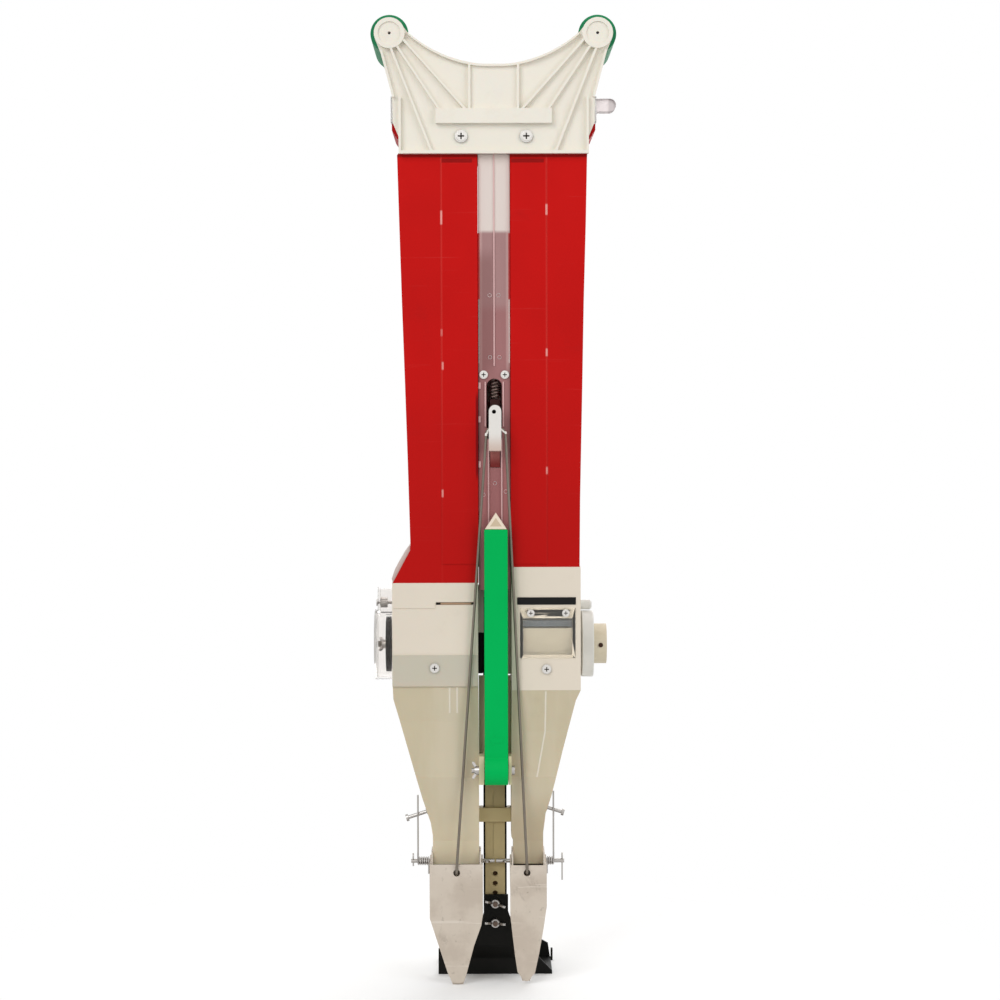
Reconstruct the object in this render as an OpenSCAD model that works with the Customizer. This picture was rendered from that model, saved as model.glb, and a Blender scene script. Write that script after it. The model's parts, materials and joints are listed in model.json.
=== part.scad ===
// Hand planter: two hoppers over two beaks, opened by a foot that the soil pushes up.
// X runs across the planter, the operator's view of the ruler is along +Y, and Z is up.
// Z = 0 is the ground under the left beak's tip and the foot.

/* [Handle] */
// Distance between the two grip axes
grip_span = 197; // [190:1:204]
// Height of the grip axes above the hopper rims
grip_rise = 85; // [81:1:91]
// Radius of a grip
grip_r = 18; // [16:0.5:19]
// Radius of the steel core in a grip
core_r = 8; // [6:0.5:10]
// Thickness of the handle plate's web
web_t = 3; // [2.5:0.5:3.5]
// Height of the ribs above the web
rib_h = 5; // [4:0.5:6]
// Thickness of a rib
rib_t = 2.2; // [1.6:0.2:3]
// Radius of the round end of the handle plate
boss_r = 14.5; // [13:0.5:15.5]
// Depth of the dished disc in the round end
dish_d = 1.6; // [1:0.2:2.4]

/* [Hoppers] */
// Depth of a hopper, front to back
hopper_depth = 126; // [120:1:132]
// Gap between the two hoppers
hopper_gap = 31; // [31:0.5:33]
// Height of the hopper rims
rim_z = 823; // [813:1:838]
// Outer half width at the rim
rim_x = 96.5; // [95.5:0.5:98]
// Wall of the hoppers
hopper_wall = 2.5; // [2:0.1:3]
// How far the inner half of each face stands proud
panel_step = 0.8; // [0.4:0.1:1.2]
// Height of a lid above the rim
lid_h = 26; // [22:1:28]
// Wall of a lid
lid_wall = 2; // [1.6:0.1:2.6]
// Reach of the right lid's thumb tab past the lid's side
tab_reach = 19.4; // [15:0.1:20]
// Radius of a lid's hinge pin
lid_pin_r = 1.5; // [1.2:0.1:1.8]

/* [Guide] */
// Thickness of the clear guide strip
strip_t = 3; // [2.4:0.1:3.4]
// Height of the bottom of the guide slot
slot_z = 497; // [490:1:503]
// Wire radius of the return spring
spring_wire_r = 0.6; // [0.45:0.05:0.7]
// Mean radius of the return spring
spring_r = 3.8; // [3.4:0.1:4.2]
// Number of turns of the return spring
spring_turns = 18; // [14:1:19]

/* [Plunger] */
// Half width of the plunger bar
bar_half = 9.5; // [8.5:0.25:10]
// Thickness of the plunger bar
bar_t = 6; // [5:0.5:6.5]
// Distance between the depth holes
hole_pitch = 9.5; // [9.1:0.1:9.9]
// Radius of a depth hole
hole_r = 2.5; // [2.2:0.1:2.8]
// Module of the rack and pinion
gear_module = 1.5; // [1.5:0.5:1.5]
// Number of teeth on the pinion
pinion_teeth = 24; // [24:1:24]
// Radius of the rod from the plunger bar to the slider
rod_r = 2.2; // [1.8:0.1:2.4]
// Radius of a pull wire
wire_r = 1.3; // [1:0.1:1.5]
// Half width of the foot
foot_half = 55.6; // [52:0.2:58]
// Plate thickness of the foot
foot_t = 3; // [2.4:0.2:3.4]
// Distance from the foot's front plate to its rear edge
foot_len = 71; // [60:1:80]

/* [Metering] */
// Height of the metering shaft
shaft_z = 322.5; // [320:0.5:325]
// Radius of the metering shaft
shaft_r = 5; // [4:0.5:6]
// Radius of the seed disc
disc_r = 27; // [24:1:29]
// Cells round the seed disc
disc_cells = 15; // [10:5:20]
// Radius of the fertiliser roller
roller_r = 20; // [18:1:22]
// Flutes of the fertiliser roller
flutes = 8; // [6:1:10]

/* [Housings and funnels] */
// Outer half width of the seed housing
seed_x = 98; // [97:0.5:99]
// Outer half width of the fertiliser housing
fert_x = 82; // [81.5:0.5:83]
// Reach of the disc cover past the seed housing
cover_reach = 19; // [19:0.5:21]
// Wall of the housings
housing_wall = 2.5; // [2.2:0.1:3]
// Wall of the funnels
funnel_wall = 2; // [1.6:0.1:2.2]

/* [Beaks] */
// Height of the flap hinge pins
pin_z = 114; // [113:0.5:115]
// Radius of a flap hinge pin
pin_r = 2; // [1.6:0.1:2.2]
// Thickness of the flap plates
flap_t = 1.5; // [1.2:0.1:1.7]
// Wall of the fixed jaws
jaw_wall = 1.5; // [1.2:0.1:1.5]
// Wire radius of a hinge spring
coil_wire_r = 0.8; // [0.6:0.05:0.9]

/* [Ruler] */
// Width of the ruler sleeve
ruler_w = 22.4; // [21:0.2:22.8]
// Height of the ruler's bolt
ruler_z = 208.5; // [205:0.5:214]
// Length of the sleeve above the bolt
ruler_len = 230; // [210:1:240]
// Length of the sliding rule inside the sleeve
rule_len = 190; // [150:5:200]

/* [Hidden] */
$fn = 48;

// Fits
slack = 0.3;
run = 0.08;
cut = 1;

// Hoppers
face_y = hopper_depth / 2;
gap_x = hopper_gap / 2;
seed_hopper_z = 387;
fert_hopper_z = 402;
lid_in_x = gap_x + 1.5;
lid_out_x = rim_x + 1.1;
lid_pin_x = rim_x - 2.5;
lid_pin_z = rim_z + 5;
lid_y = face_y - 1;
ear_y = 36;
ear_w = 4;
knuckle_w = 6;

// Handle
plate_z = rim_z - 28.4;
grip_z = rim_z + grip_rise;
plate_out_y = face_y + web_t + rib_h;
handle_screw_x = 30.9;
handle_screw_z = rim_z - 12;

// Guide
strip_half = gap_x - 0.5;
strip_back_y = -face_y + 5.5;
strip_bottom_z = 380;
flange_t = 4;
flange_x = 8.2;
flange_top_z = 720;
slot_half = 7.3;
slot_top_z = 581.7;
slot_step_z = 524;
spine_front_y = strip_back_y;
spine_back_y = strip_back_y + 10.5;
spine_half = gap_x - 0.3;
spring_seat_z = 562;
spring_top_z = 620;
spring_y = strip_back_y + 5.5;

// Metering, with the shaft behind the plunger
pitch_r = gear_module * pinion_teeth / 2;
stroke = 2 * PI * pitch_r / 5;
shaft_y = 8;
pitch_y = shaft_y - pitch_r;
root_y = pitch_y - 1.25 * gear_module;
rack_front_y = root_y - 2.125;
tooth_angle = 20;
backlash = 0.4;
pinion_x0 = -10.6;
pinion_x1 = -3;

// Plunger
slide_x = 0.6;
bar_front_y = rack_front_y - bar_t;
bar_bottom_z = 44;
bar_top_z = 400;
rod_y = bar_front_y + bar_t / 2;
rod_hold = 25;
rack_half = bar_half + 1.8;
rack_bottom_z = bar_bottom_z;
top_hole_z = 100.4;
head_z0 = 513;
head_z1 = 556.6;
head_front_y = -face_y - 15;
head_back_y = -face_y - 1.5;
neck_half = 4.6;
head_r = 5.9;
wire_y = -face_y - 12;
wire_low_y = -face_y + 2.5;
wire_top = [0, wire_y, 534];
wire_bend_l = [-7.8, wire_y, 529];
wire_bend_r = [10.5, wire_y, 530.5];
wire_low_l = [-37.2, wire_low_y, 112];
wire_low_r = [30.4, wire_low_y, 112];
wire_hole_z = 107.7;

// Foot
tongue_x0 = slide_x + 0.3 - 11.6;
tongue_x1 = slide_x + 0.3 + 11.6;
tongue_back_y = bar_front_y;
tongue_front_y = bar_front_y - foot_t;
tongue_top_z = 80.4;
foot_front_y = -11;
foot_back_y = foot_front_y + foot_len;
bolt_rows = [3, 5];

// Housings
seed_housing_z = 294;
fert_housing_z = 284;
inner_x = gap_x + 0.5;
bush_r = shaft_r + 4;
cover_out = -seed_x - cover_reach;
cover_screw_z = shaft_z + 41;
cover_screw_r = 1.5;
cover_box_out = cover_out + 3;
seed_screw = [-57.6, 305.7];
fert_screw = [49.4, 304.3];
gate_z = 366.2;
gate_x0 = -56;
gate_x1 = -22.5;
window_x0 = 24;
window_x1 = 77;
window_z0 = 315;
window_z1 = 363;
window_t = 1.8;
window_screws = [34.3, 67.7];
window_screw_r = 1.5;
screw_r = 2;
flange_r = 32.5;
flange_w = 14.6;
collar_t = 1;
collar_z = 318;
face_step_x = -57;
cheek_y = -face_y + 18;
cheek_t = 3;

// Beaks
flap_back_y = -face_y + 6;
pin_y = flap_back_y + 32;
flap_front_y = flap_back_y - flap_t;
arm_t = 1.3;
arm_gap = 0.3;
jaw_inset = arm_t + arm_gap;
socket_top_z = 126;
funnel_bottom_z = 118;
seed_flap_x = [-63.2, -12.1];
fert_flap_x = [14.2, 49.3];
seed_socket_x = seed_flap_x[0] + jaw_inset + jaw_wall;
fert_socket_x = [fert_flap_x[0] + jaw_inset + jaw_wall, fert_flap_x[1] - jaw_inset - jaw_wall];
jaw_back_y = pin_y + 12.8;
jaw_tip_y = flap_back_y + 1.8;
jaw_front_y = flap_back_y + 0.2;
jaw_knee_z = 112;
seed_spring_turns = 5;
fert_spring_turns = 3;
coil_pitch = 2.1;
coil_r = pin_r + coil_wire_r + 0.8;
seed_anchor_z = 163;
fert_anchor_z = 166.5;
anchor_r = 1.8;
seed_pin = [-81.6, -0.7];
fert_pin = [0.9, 67];

// Ruler
ruler_x = 1.1;
ruler_x0 = ruler_x - ruler_w / 2;
ruler_x1 = ruler_x + ruler_w / 2;
ruler_y = -face_y - 9;
ruler_t = 14;
ruler_wall = 2.4;
ruler_hub_r = 14;
ruler_bolt_r = 2.5;

// Moves the whole planter so that its bounding box is centred on the origin
front_extent = ruler_y - ruler_hub_r;
back_extent = plate_out_y + 1.5;
centre_y = -(front_extent + back_extent) / 2;
centre_x = (seed_x + cover_reach - lid_out_x - tab_reach) / 2;

module placed() {
    translate([centre_x, centre_y, 0]) children();
}

// A box given by its limits
module box(x0, x1, y0, y1, z0, z1) {
    translate([x0, y0, z0]) cube([x1 - x0, y1 - y0, z1 - z0]);
}

// Round bars along the axes
module bar_x(x0, x1, y, z, r) {
    translate([x0, y, z]) rotate([0, 90, 0]) cylinder(h = x1 - x0, r = r);
}
module bar_y(y0, y1, x, z, r) {
    translate([x, y1, z]) rotate([90, 0, 0]) cylinder(h = y1 - y0, r = r);
}
module bar_z(z0, z1, x, y, r) {
    translate([x, y, z0]) cylinder(h = z1 - z0, r = r);
}

// Outlines drawn in the XZ plane and given a depth along Y, or in the YZ plane along X
module slab_xz(pts, y0, y1) {
    translate([0, y1, 0]) rotate([90, 0, 0]) linear_extrude(y1 - y0) polygon(pts);
}
module slab_yz(pts, x0, x1) {
    translate([x0, 0, 0]) rotate([90, 0, 90]) linear_extrude(x1 - x0) polygon(pts);
}

// Points of an arc from p to q whose middle stands s to the left of the chord
function arc_pts(p, q, s, n = 12) =
    let (
        d = q - p,
        c = norm(d),
        side = [-d[1], d[0]] / c,
        r = (c * c / 4 + s * s) / (2 * abs(s)),
        centre = (p + q) / 2 + side * (s - sign(s) * r),
        a0 = atan2(p[1] - centre[1], p[0] - centre[0]),
        a1 = atan2(q[1] - centre[1], q[0] - centre[0]),
        turn = (a1 - a0 + 540) % 360 - 180
    )
    [for (i = [0:n]) centre + r * [cos(a0 + turn * i / n), sin(a0 + turn * i / n)]];

function mirrored(pts) = [for (i = [len(pts) - 1:-1:0]) [-pts[i][0], pts[i][1]]];

// Draws an outline's sides in by d towards the middle x
function narrowed(pts, middle, d) = [for (p = pts) [p[0] + (p[0] > middle ? -d : d), p[1]]];

// A tube of s sides swept along a path, with rings turned to a fixed axis
module tube(path, r, axis, s = 6) {
    n = len(path);
    rings = [
        for (i = [0:n - 1])
            let (
                t0 = path[min(i + 1, n - 1)] - path[max(i - 1, 0)],
                t = t0 / norm(t0),
                u0 = axis - t * (t * axis),
                u = u0 / norm(u0),
                v = cross(t, u)
            )
            for (k = [0:s - 1]) path[i] + r * (cos(360 * k / s) * u + sin(360 * k / s) * v)
    ];
    sides = [
        for (i = [0:n - 2], k = [0:s - 1])
            let (a = i * s + k, b = i * s + (k + 1) % s)
            each [[a, a + s, b], [b, a + s, b + s]]
    ];
    ends = [
        for (k = [1:s - 2])
            each [[0, k, k + 1], [(n - 1) * s, (n - 1) * s + k + 1, (n - 1) * s + k]]
    ];
    polyhedron(rings, concat(sides, ends));
}

// A pan head with a cross recess, its underside at z = 0 and its shank below
module pan_screw(head_r, head_h, shank_r, shank_l) {
    difference() {
        union() {
            cylinder(h = head_h * 0.6, r = head_r);
            translate([0, 0, head_h * 0.6]) cylinder(h = head_h * 0.4, r = head_r * 0.78);
        }
        for (a = [0, 90])
            rotate([0, 0, a])
                translate([-head_r * 0.5, -head_r * 0.11, head_h * 0.45])
                    cube([head_r, head_r * 0.22, head_h]);
    }
    translate([0, 0, -shank_l]) cylinder(h = shank_l + head_h * 0.3, r = shank_r);
}

// A wing nut with its seat at z = 0 and its wings along x
module wing_nut(hub_r, hub_h, bore_r, span) {
    wing_t = 2;
    difference() {
        union() {
            cylinder(h = hub_h, r1 = hub_r, r2 = hub_r * 0.85, $fn = 32);
            for (side = [-1, 1])
                translate([0, wing_t / 2, 0])
                    rotate([90, 0, 0])
                        linear_extrude(wing_t)
                            polygon([
                                [side * hub_r * 0.5, hub_h * 0.25],
                                [side * span * 0.8, hub_h * 0.85],
                                [side * span, hub_h * 1.2],
                                [side * span * 0.93, hub_h * 1.6],
                                [side * span * 0.72, hub_h * 1.5],
                                [side * hub_r * 0.5, hub_h * 0.95],
                            ]);
        }
        translate([0, 0, -cut]) cylinder(h = hub_h * 2, r = bore_r);
    }
}

// Handle: one ribbed plate at the front and its mirror at the back
plate_corner = [90, plate_z];
plate_shoulder = [grip_span / 2 + 9.2, grip_z - 16.2];
crescent_end = [grip_span / 2 - 17.6, grip_z + 0.6];
crescent_s = grip_rise - 54.6;
crescent_floor = grip_z - 29.2;
plate_half = concat(
    [plate_corner, [90.2, rim_z - 12], [95.6, rim_z + 1]],
    arc_pts([96, rim_z + 27], plate_shoulder, 2, 6),
    [
        [grip_span / 2 + 13.7, grip_z - 5],
        [grip_span / 2, grip_z],
        [grip_span / 2 - 12.5, grip_z + 7.3],
    ]
);
crescent = [
    for (p = arc_pts(crescent_end, [-crescent_end[0], crescent_end[1]], crescent_s, 24))
        [p[0], max(p[1], crescent_floor)]
];
plate_outline = concat(plate_half, crescent, mirrored(plate_half));

module rib(p, q, t = rib_t) {
    d = q - p;
    n = [-d[1], d[0]] / norm(d) * t / 2;
    slab_xz([p + n, p - n, q - n, q + n], -face_y - web_t - rib_h, -face_y - web_t);
}

module crescent_rim(t) {
    inner = [for (p = mirrored(crescent)) [-p[0], p[1] - t]];
    slab_xz(concat(crescent, inner), -face_y - web_t - rib_h, -face_y - web_t);
}

module handle_plate() {
    ledge_half = 55;
    ledge_z = rim_z;
    ledge_h = 14;
    panel_half = 23;
    boss_front_y = -plate_out_y - 0.5;
    difference() {
        union() {
            slab_xz(plate_outline, -face_y - web_t, -face_y);
            crescent_rim(rib_t);
            box(-plate_corner[0], plate_corner[0], -plate_out_y, -face_y - web_t, plate_z, plate_z + 3);
            box(-ledge_half, ledge_half, -plate_out_y - 1.5, -face_y - web_t, ledge_z, ledge_z + ledge_h);
            intersection() {
                box(-panel_half, panel_half, -face_y - web_t - 1.5, -face_y, ledge_z, grip_z);
                slab_xz(plate_outline, -plate_out_y, -face_y);
            }
            for (side = [-1, 1]) {
                bar_y(boss_front_y, -face_y, side * grip_span / 2, grip_z, boss_r);
                rib([side * panel_half, ledge_z + ledge_h - 1], [side * panel_half, grip_z - 29.5]);
                rib([side * (grip_span / 2 - 1), grip_z - 13], [side * 58.8, plate_z + 2]);
                rib([side * (grip_span / 2 - 7), grip_z - 12], [side * 51.5, ledge_z + ledge_h - 1]);
                rib([side * (grip_span / 2 - 13), grip_z - 6], [side * 26.4, ledge_z + ledge_h - 1]);
                rib([side * (plate_shoulder[0] - 1.4), plate_shoulder[1]], [side * 94.8, rim_z + 25]);
                rib([side * (plate_corner[0] - 1.1), rim_z + 25], [side * (plate_corner[0] - 1.1), plate_z + 2]);
            }
        }
        for (side = [-1, 1]) {
            bar_y(boss_front_y - cut, boss_front_y + dish_d, side * grip_span / 2, grip_z, boss_r - 3.8);
            bar_y(boss_front_y - cut, -face_y + cut, side * grip_span / 2, grip_z, 1.4);
            bar_y(-plate_out_y - cut, -face_y + cut, side * handle_screw_x, handle_screw_z, 2.5);
        }
    }
}

module handle_front_plate() {
    color("ivory") placed() handle_plate();
}

module handle_rear_plate() {
    color("ivory") placed() mirror([0, 1, 0]) handle_plate();
}

module handle_screws() {
    color("silver") placed()
        for (turn = [0, 180], side = [-1, 1])
            rotate([0, 0, turn])
                translate([side * handle_screw_x, -face_y - web_t, handle_screw_z])
                    rotate([90, 0, 0])
                        pan_screw(6, 3.4, 2.4, web_t + hopper_wall + 7);
}

module grip(side) {
    difference() {
        bar_y(-face_y, face_y, side * grip_span / 2, grip_z, grip_r);
        bar_y(-face_y - cut, face_y + cut, side * grip_span / 2, grip_z, core_r + 0.1);
    }
}

module grip_left() {
    color("seagreen") placed() grip(-1);
}

module grip_right() {
    color("seagreen") placed() grip(1);
}

module grip_cores() {
    color("silver") placed()
        for (side = [-1, 1])
            difference() {
                bar_y(-face_y, face_y, side * grip_span / 2, grip_z, core_r);
                bar_y(-face_y - cut, -face_y + 20, side * grip_span / 2, grip_z, 1.2);
                bar_y(face_y - 20, face_y + cut, side * grip_span / 2, grip_z, 1.2);
            }
}

// Hoppers: straight inner wall, slightly tapered outer wall and a flared mouth
mouth = [[rim_x - 4.6, rim_z - 13], [rim_x, rim_z - 6], [rim_x, rim_z]];
fert_barrel = concat(
    [[gap_x, rim_z], [gap_x, fert_hopper_z], [81, fert_hopper_z]],
    [[81.6, 466], [83.9, 579], [85.3, 655], [87.4, 731], [88.6, rim_z - 31], [89.8, rim_z - 16]],
    mouth
);
seed_barrel = concat(
    [[gap_x, rim_z], [gap_x, seed_hopper_z], [seed_x - 0.8, seed_hopper_z], [80.2, seed_hopper_z + 31.7]],
    [[82.6, 504], [85, 579], [87.6, 655], [89.9, 731], [91.7, plate_z - 1], [89.8, plate_z + 1.5], [89.8, rim_z - 16]],
    mouth
);

// Pale bulge that stands out past the slope of the seed hopper's foot
seed_bulge = [
    [80, seed_hopper_z + 36.4], [82.6, seed_hopper_z + 32.8], [88.5, seed_hopper_z + 24.8],
    [95.3, seed_hopper_z + 13.1], [seed_x + 0.4, seed_hopper_z + 4], [seed_x - 0.8, seed_hopper_z],
    [80, seed_hopper_z],
];

function cavity(pts, z0) = [
    for (p = narrowed(pts, 50, hopper_wall)) [p[0], p[1] == rim_z ? rim_z + cut : p[1] == z0 ? z0 - cut : p[1]]
];

module barrel(pts, z0, bulge = []) {
    difference() {
        union() {
            slab_xz(pts, -face_y, face_y);
            if (len(bulge) > 0) slab_xz(bulge, -face_y + hopper_wall, face_y - hopper_wall);
            box(gap_x, 50, -face_y - panel_step, face_y + panel_step, fert_hopper_z + 3, plate_z - 8);
        }
        slab_xz(cavity(pts, z0), -face_y + hopper_wall, face_y - hopper_wall);
        for (y = [-1, 1])
            translate([handle_screw_x, y * face_y, handle_screw_z])
                rotate([90, 0, 0])
                    cylinder(h = 4 * hopper_wall, r = 2.5, center = true);
        bar_y(strip_back_y - cut, strip_back_y + flange_t + cut, flange_x + 1.9, slot_top_z + 3.7, 1.6);
    }
    difference() {
        box(flange_x, gap_x + 0.5, strip_back_y, strip_back_y + flange_t, fert_hopper_z, flange_top_z);
        bar_y(strip_back_y - cut, strip_back_y + flange_t + cut, flange_x + 1.9, slot_top_z + 3.7, 1.6);
    }
    for (turn = [0, 180])
        rotate([0, 0, turn])
            translate([turn == 0 ? handle_screw_x : -handle_screw_x, -face_y + hopper_wall - 0.5, handle_screw_z])
                rotate([-90, 0, 0])
                    difference() {
                        cylinder(h = 8.5, r = 6);
                        translate([0, 0, -cut]) cylinder(h = 12, r = 2.5);
                    }
    for (side = [-1, 1])
        difference() {
            union() {
                box(
                    lid_pin_x - 2.8, lid_pin_x + 2.6,
                    side * ear_y - ear_w / 2, side * ear_y + ear_w / 2,
                    rim_z - 1.5, lid_pin_z
                );
                bar_y(side * ear_y - ear_w / 2, side * ear_y + ear_w / 2, lid_pin_x, lid_pin_z, 2.7);
            }
            bar_y(side * ear_y - ear_w, side * ear_y + ear_w, lid_pin_x, lid_pin_z, lid_pin_r);
        }
}

module seed_hopper() {
    color("firebrick") placed() mirror([1, 0, 0]) barrel(seed_barrel, seed_hopper_z, seed_bulge);
}

module fertiliser_hopper() {
    color("firebrick") placed() barrel(fert_barrel, fert_hopper_z);
}

// A shallow box lid whose knuckles turn on two pins at the outer rim
module lid() {
    skirt_z = rim_z + 0.3;
    notch_h = 9;
    knuckle_y = ear_y - ear_w / 2 - 0.8 - knuckle_w;
    difference() {
        union() {
            difference() {
                box(lid_in_x, lid_out_x, -lid_y, lid_y, skirt_z, rim_z + lid_h);
                box(
                    lid_in_x + lid_wall, lid_out_x - lid_wall,
                    -lid_y + lid_wall, lid_y - lid_wall,
                    rim_z - cut, rim_z + lid_h - lid_wall
                );
            }
            for (side = [-1, 1])
                translate([0, side > 0 ? knuckle_y : -knuckle_y - knuckle_w, 0])
                    box(lid_pin_x - 2.8, lid_out_x, 0, knuckle_w, lid_pin_z - 3, lid_pin_z + 7);
        }
        box(lid_pin_x - 5, lid_out_x + cut, -lid_y - cut, lid_y + cut, rim_z - cut, lid_pin_z - 3);
        for (side = [-1, 1]) {
            box(
                lid_pin_x, lid_out_x + cut,
                side * ear_y - ear_w / 2 - 0.6, side * ear_y + ear_w / 2 + 0.6,
                rim_z - cut, rim_z + notch_h
            );
            bar_y(side * ear_y - 12, side * ear_y + 12, lid_pin_x, lid_pin_z, lid_pin_r + run);
        }
    }
}

module seed_lid() {
    color("whitesmoke", 0.8) placed() mirror([1, 0, 0]) lid();
}

module fertiliser_lid() {
    tab_r = 6;
    tab_z = rim_z + lid_h - 0.4 - tab_r;
    tab_y = [-46, -26];
    tab_end = lid_out_x + tab_reach - tab_r;
    color("whitesmoke", 0.8) placed() {
        lid();
        box(lid_out_x, tab_end, tab_y[0], tab_y[1], tab_z - tab_r, tab_z + tab_r);
        bar_y(tab_y[0], tab_y[1], tab_end, tab_z, tab_r);
    }
}

module lid_pins() {
    overhang = 1.5;
    color("silver") placed()
        for (side = [-1, 1], half = [-1, 1])
            translate([side * lid_pin_x, 0, 0])
                bar_y(
                    half > 0 ? ear_y - 9 : -ear_y - 3.5,
                    half > 0 ? ear_y + 2 + overhang : -ear_y + 9,
                    0, lid_pin_z, lid_pin_r
                );
}

// Guide strip: clear cover over the gap between the hoppers, with the slot for the slider
module guide_strip() {
    front = strip_back_y - strip_t;
    rib_t1 = 1.3;
    color("lavender", 0.5) placed()
        difference() {
            union() {
                box(-strip_half, strip_half, front, strip_back_y, strip_bottom_z, plate_z - 0.3);
                box(-rib_t1 / 2, rib_t1 / 2, front - 1, front, slot_top_z + 12, plate_z - 0.3);
                for (side = [-1, 1]) {
                    box(
                        side * 8.6 - rib_t1 / 2, side * 8.6 + rib_t1 / 2,
                        front - 1.5, front, slot_step_z + 12, slot_top_z - 3
                    );
                    box(
                        side * 6.3 + 0.6 - rib_t1 / 2, side * 6.3 + 0.6 + rib_t1 / 2,
                        front - 1.5, front, strip_bottom_z + 4, slot_step_z + 8
                    );
                }
                for (z = [575, 543, 500]) box(-strip_half, -strip_half + 2, front - 1.4, front, z - 3, z + 3);
            }
            bar_y(front - 3, strip_back_y + cut, 0, slot_top_z - slot_half, slot_half);
            box(-slot_half, slot_half, front - 3, strip_back_y + cut, slot_step_z, slot_top_z - slot_half);
            box(
                slide_x - neck_half - 0.5, slide_x + neck_half + 0.5,
                front - 3, strip_back_y + cut, slot_z, slot_step_z + cut
            );
            for (side = [-1, 1])
                bar_y(front - 2, strip_back_y + cut, side * (flange_x + 1.9), slot_top_z + 3.7, 1.6);
        }
}

module guide_screws() {
    color("silver") placed()
        for (side = [-1, 1])
            translate([side * (flange_x + 1.9), strip_back_y - strip_t, slot_top_z + 3.7])
                rotate([90, 0, 0])
                    pan_screw(4, 2.2, 1.5, strip_t + flange_t - 0.5);
}

// White spine behind the top of the strip, which also stops the return spring
module spine() {
    pin_drop = 30;
    color("white") placed() {
        box(-spine_half, spine_half, spine_front_y, spine_back_y, flange_top_z + 2, plate_z + 1.4);
        box(-spine_half, spine_half, -face_y, spine_back_y, plate_z + 1.4, rim_z - 1);
        box(-flange_x + slack, flange_x - slack, spine_front_y, spine_back_y, spring_top_z, flange_top_z + 2);
        bar_z(spring_top_z - pin_drop, spring_top_z + cut, slide_x, spring_y, 1.6);
    }
}

module rear_strip() {
    color("white") placed() box(-spine_half, spine_half, face_y - 3, face_y, seed_housing_z, rim_z - 1);
}

spring_path = [
    for (i = [0:8 * spring_turns])
        [
            slide_x + spring_r * cos(45 * i),
            spring_y + spring_r * sin(45 * i),
            spring_seat_z + spring_wire_r + 0.05
                + (spring_top_z - spring_seat_z - 2 * spring_wire_r - 0.1) * i / (8 * spring_turns),
        ]
];
echo(return_spring_gap = (spring_top_z - spring_seat_z - 2 * spring_wire_r) / spring_turns - 2 * spring_wire_r);

module return_spring() {
    color("dimgray") placed() tube(spring_path, spring_wire_r, [0, 0, 1]);
}

// Slider head: reaches forward through the slot and holds the tops of the pull wires
module slider_head() {
    color("white")
        placed()
            difference() {
                union() {
                    box(
                        slide_x - head_r, slide_x + head_r,
                        head_front_y, head_back_y, head_z0, head_z1 - head_r
                    );
                    bar_y(head_front_y, head_back_y, slide_x, head_z1 - head_r, head_r);
                    box(
                        slide_x - neck_half, slide_x + neck_half,
                        head_back_y - cut, rod_y + 5, head_z0, head_z1 - head_r
                    );
                    box(
                        slide_x - neck_half, slide_x + neck_half,
                        spring_y - 5, spring_y + 5, head_z1 - head_r - cut, spring_seat_z
                    );
                    box(
                        slide_x - neck_half, slide_x + neck_half,
                        strip_back_y - strip_t - 1, strip_back_y, slot_z + slack, head_z0 + cut
                    );
                }
                bar_y(head_front_y - cut, head_back_y, slide_x - 1, head_z1 - head_r - 0.5, 1.8);
                bar_x(slide_x - 10, slide_x + 10, wire_top[1], wire_top[2], wire_r);
                bar_z(head_z0 - cut, head_z0 + rod_hold, slide_x, rod_y, rod_r);
            }
}

module lift_rod() {
    color("gray")
        placed() {
            bar_z(bar_top_z - rod_hold, head_z0 + rod_hold, slide_x, rod_y, rod_r);
            bar_z(bar_top_z, bar_top_z + 4, slide_x, rod_y, 5.2);
        }
}

// Replaces each inner corner of a path by a few points of a curve that starts d before it
function eased(pts, d, n = 4) = concat(
    [pts[0]],
    [
        for (i = [1:len(pts) - 2])
            let (
                a = pts[i] + (pts[i - 1] - pts[i]) / norm(pts[i - 1] - pts[i]) * d,
                b = pts[i] + (pts[i + 1] - pts[i]) / norm(pts[i + 1] - pts[i]) * d
            )
            for (k = [0:n]) let (t = k / n) a * (1 - t) * (1 - t) + 2 * pts[i] * t * (1 - t) + b * t * t
    ],
    [pts[len(pts) - 1]]
);

// Pull wires: into the head at the top, through a flap's hole at the bottom
module pull_wire(bend, low, side) {
    neck = [slide_x + side * 0.8, bend[1], wire_top[2]];
    shoulder = [slide_x + side * (head_r + 1), bend[1], wire_top[2]];
    corner = [low[0], low[1], wire_hole_z];
    tail = [low[0], flap_back_y + 5, wire_hole_z];
    color("dimgray")
        placed()
            tube(eased([neck, shoulder, bend, low, corner, tail], 1.6), wire_r, [0.35, 0.2, 0.9], 10);
}

module pull_wire_left() {
    pull_wire(wire_bend_l, wire_low_l, -1);
}

module pull_wire_right() {
    pull_wire(wire_bend_r, wire_low_r, 1);
}

// Plunger bar with its row of depth holes
module plunger_bar() {
    holes = 7;
    color("cornsilk") placed()
        difference() {
            box(-bar_half, bar_half, bar_front_y, rack_front_y, bar_bottom_z, bar_top_z);
            for (i = [0:holes - 1])
                if (top_hole_z - i * hole_pitch > bar_bottom_z)
                    bar_y(bar_front_y - cut, rack_front_y + cut, 0, top_hole_z - i * hole_pitch, hole_r);
            box(-2.1, -1.5, bar_front_y - cut, bar_front_y + 0.8, funnel_bottom_z, ruler_z - 30);
            bar_z(bar_top_z - rod_hold, bar_top_z + cut, slide_x, rod_y, rod_r);
        }
}

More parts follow.
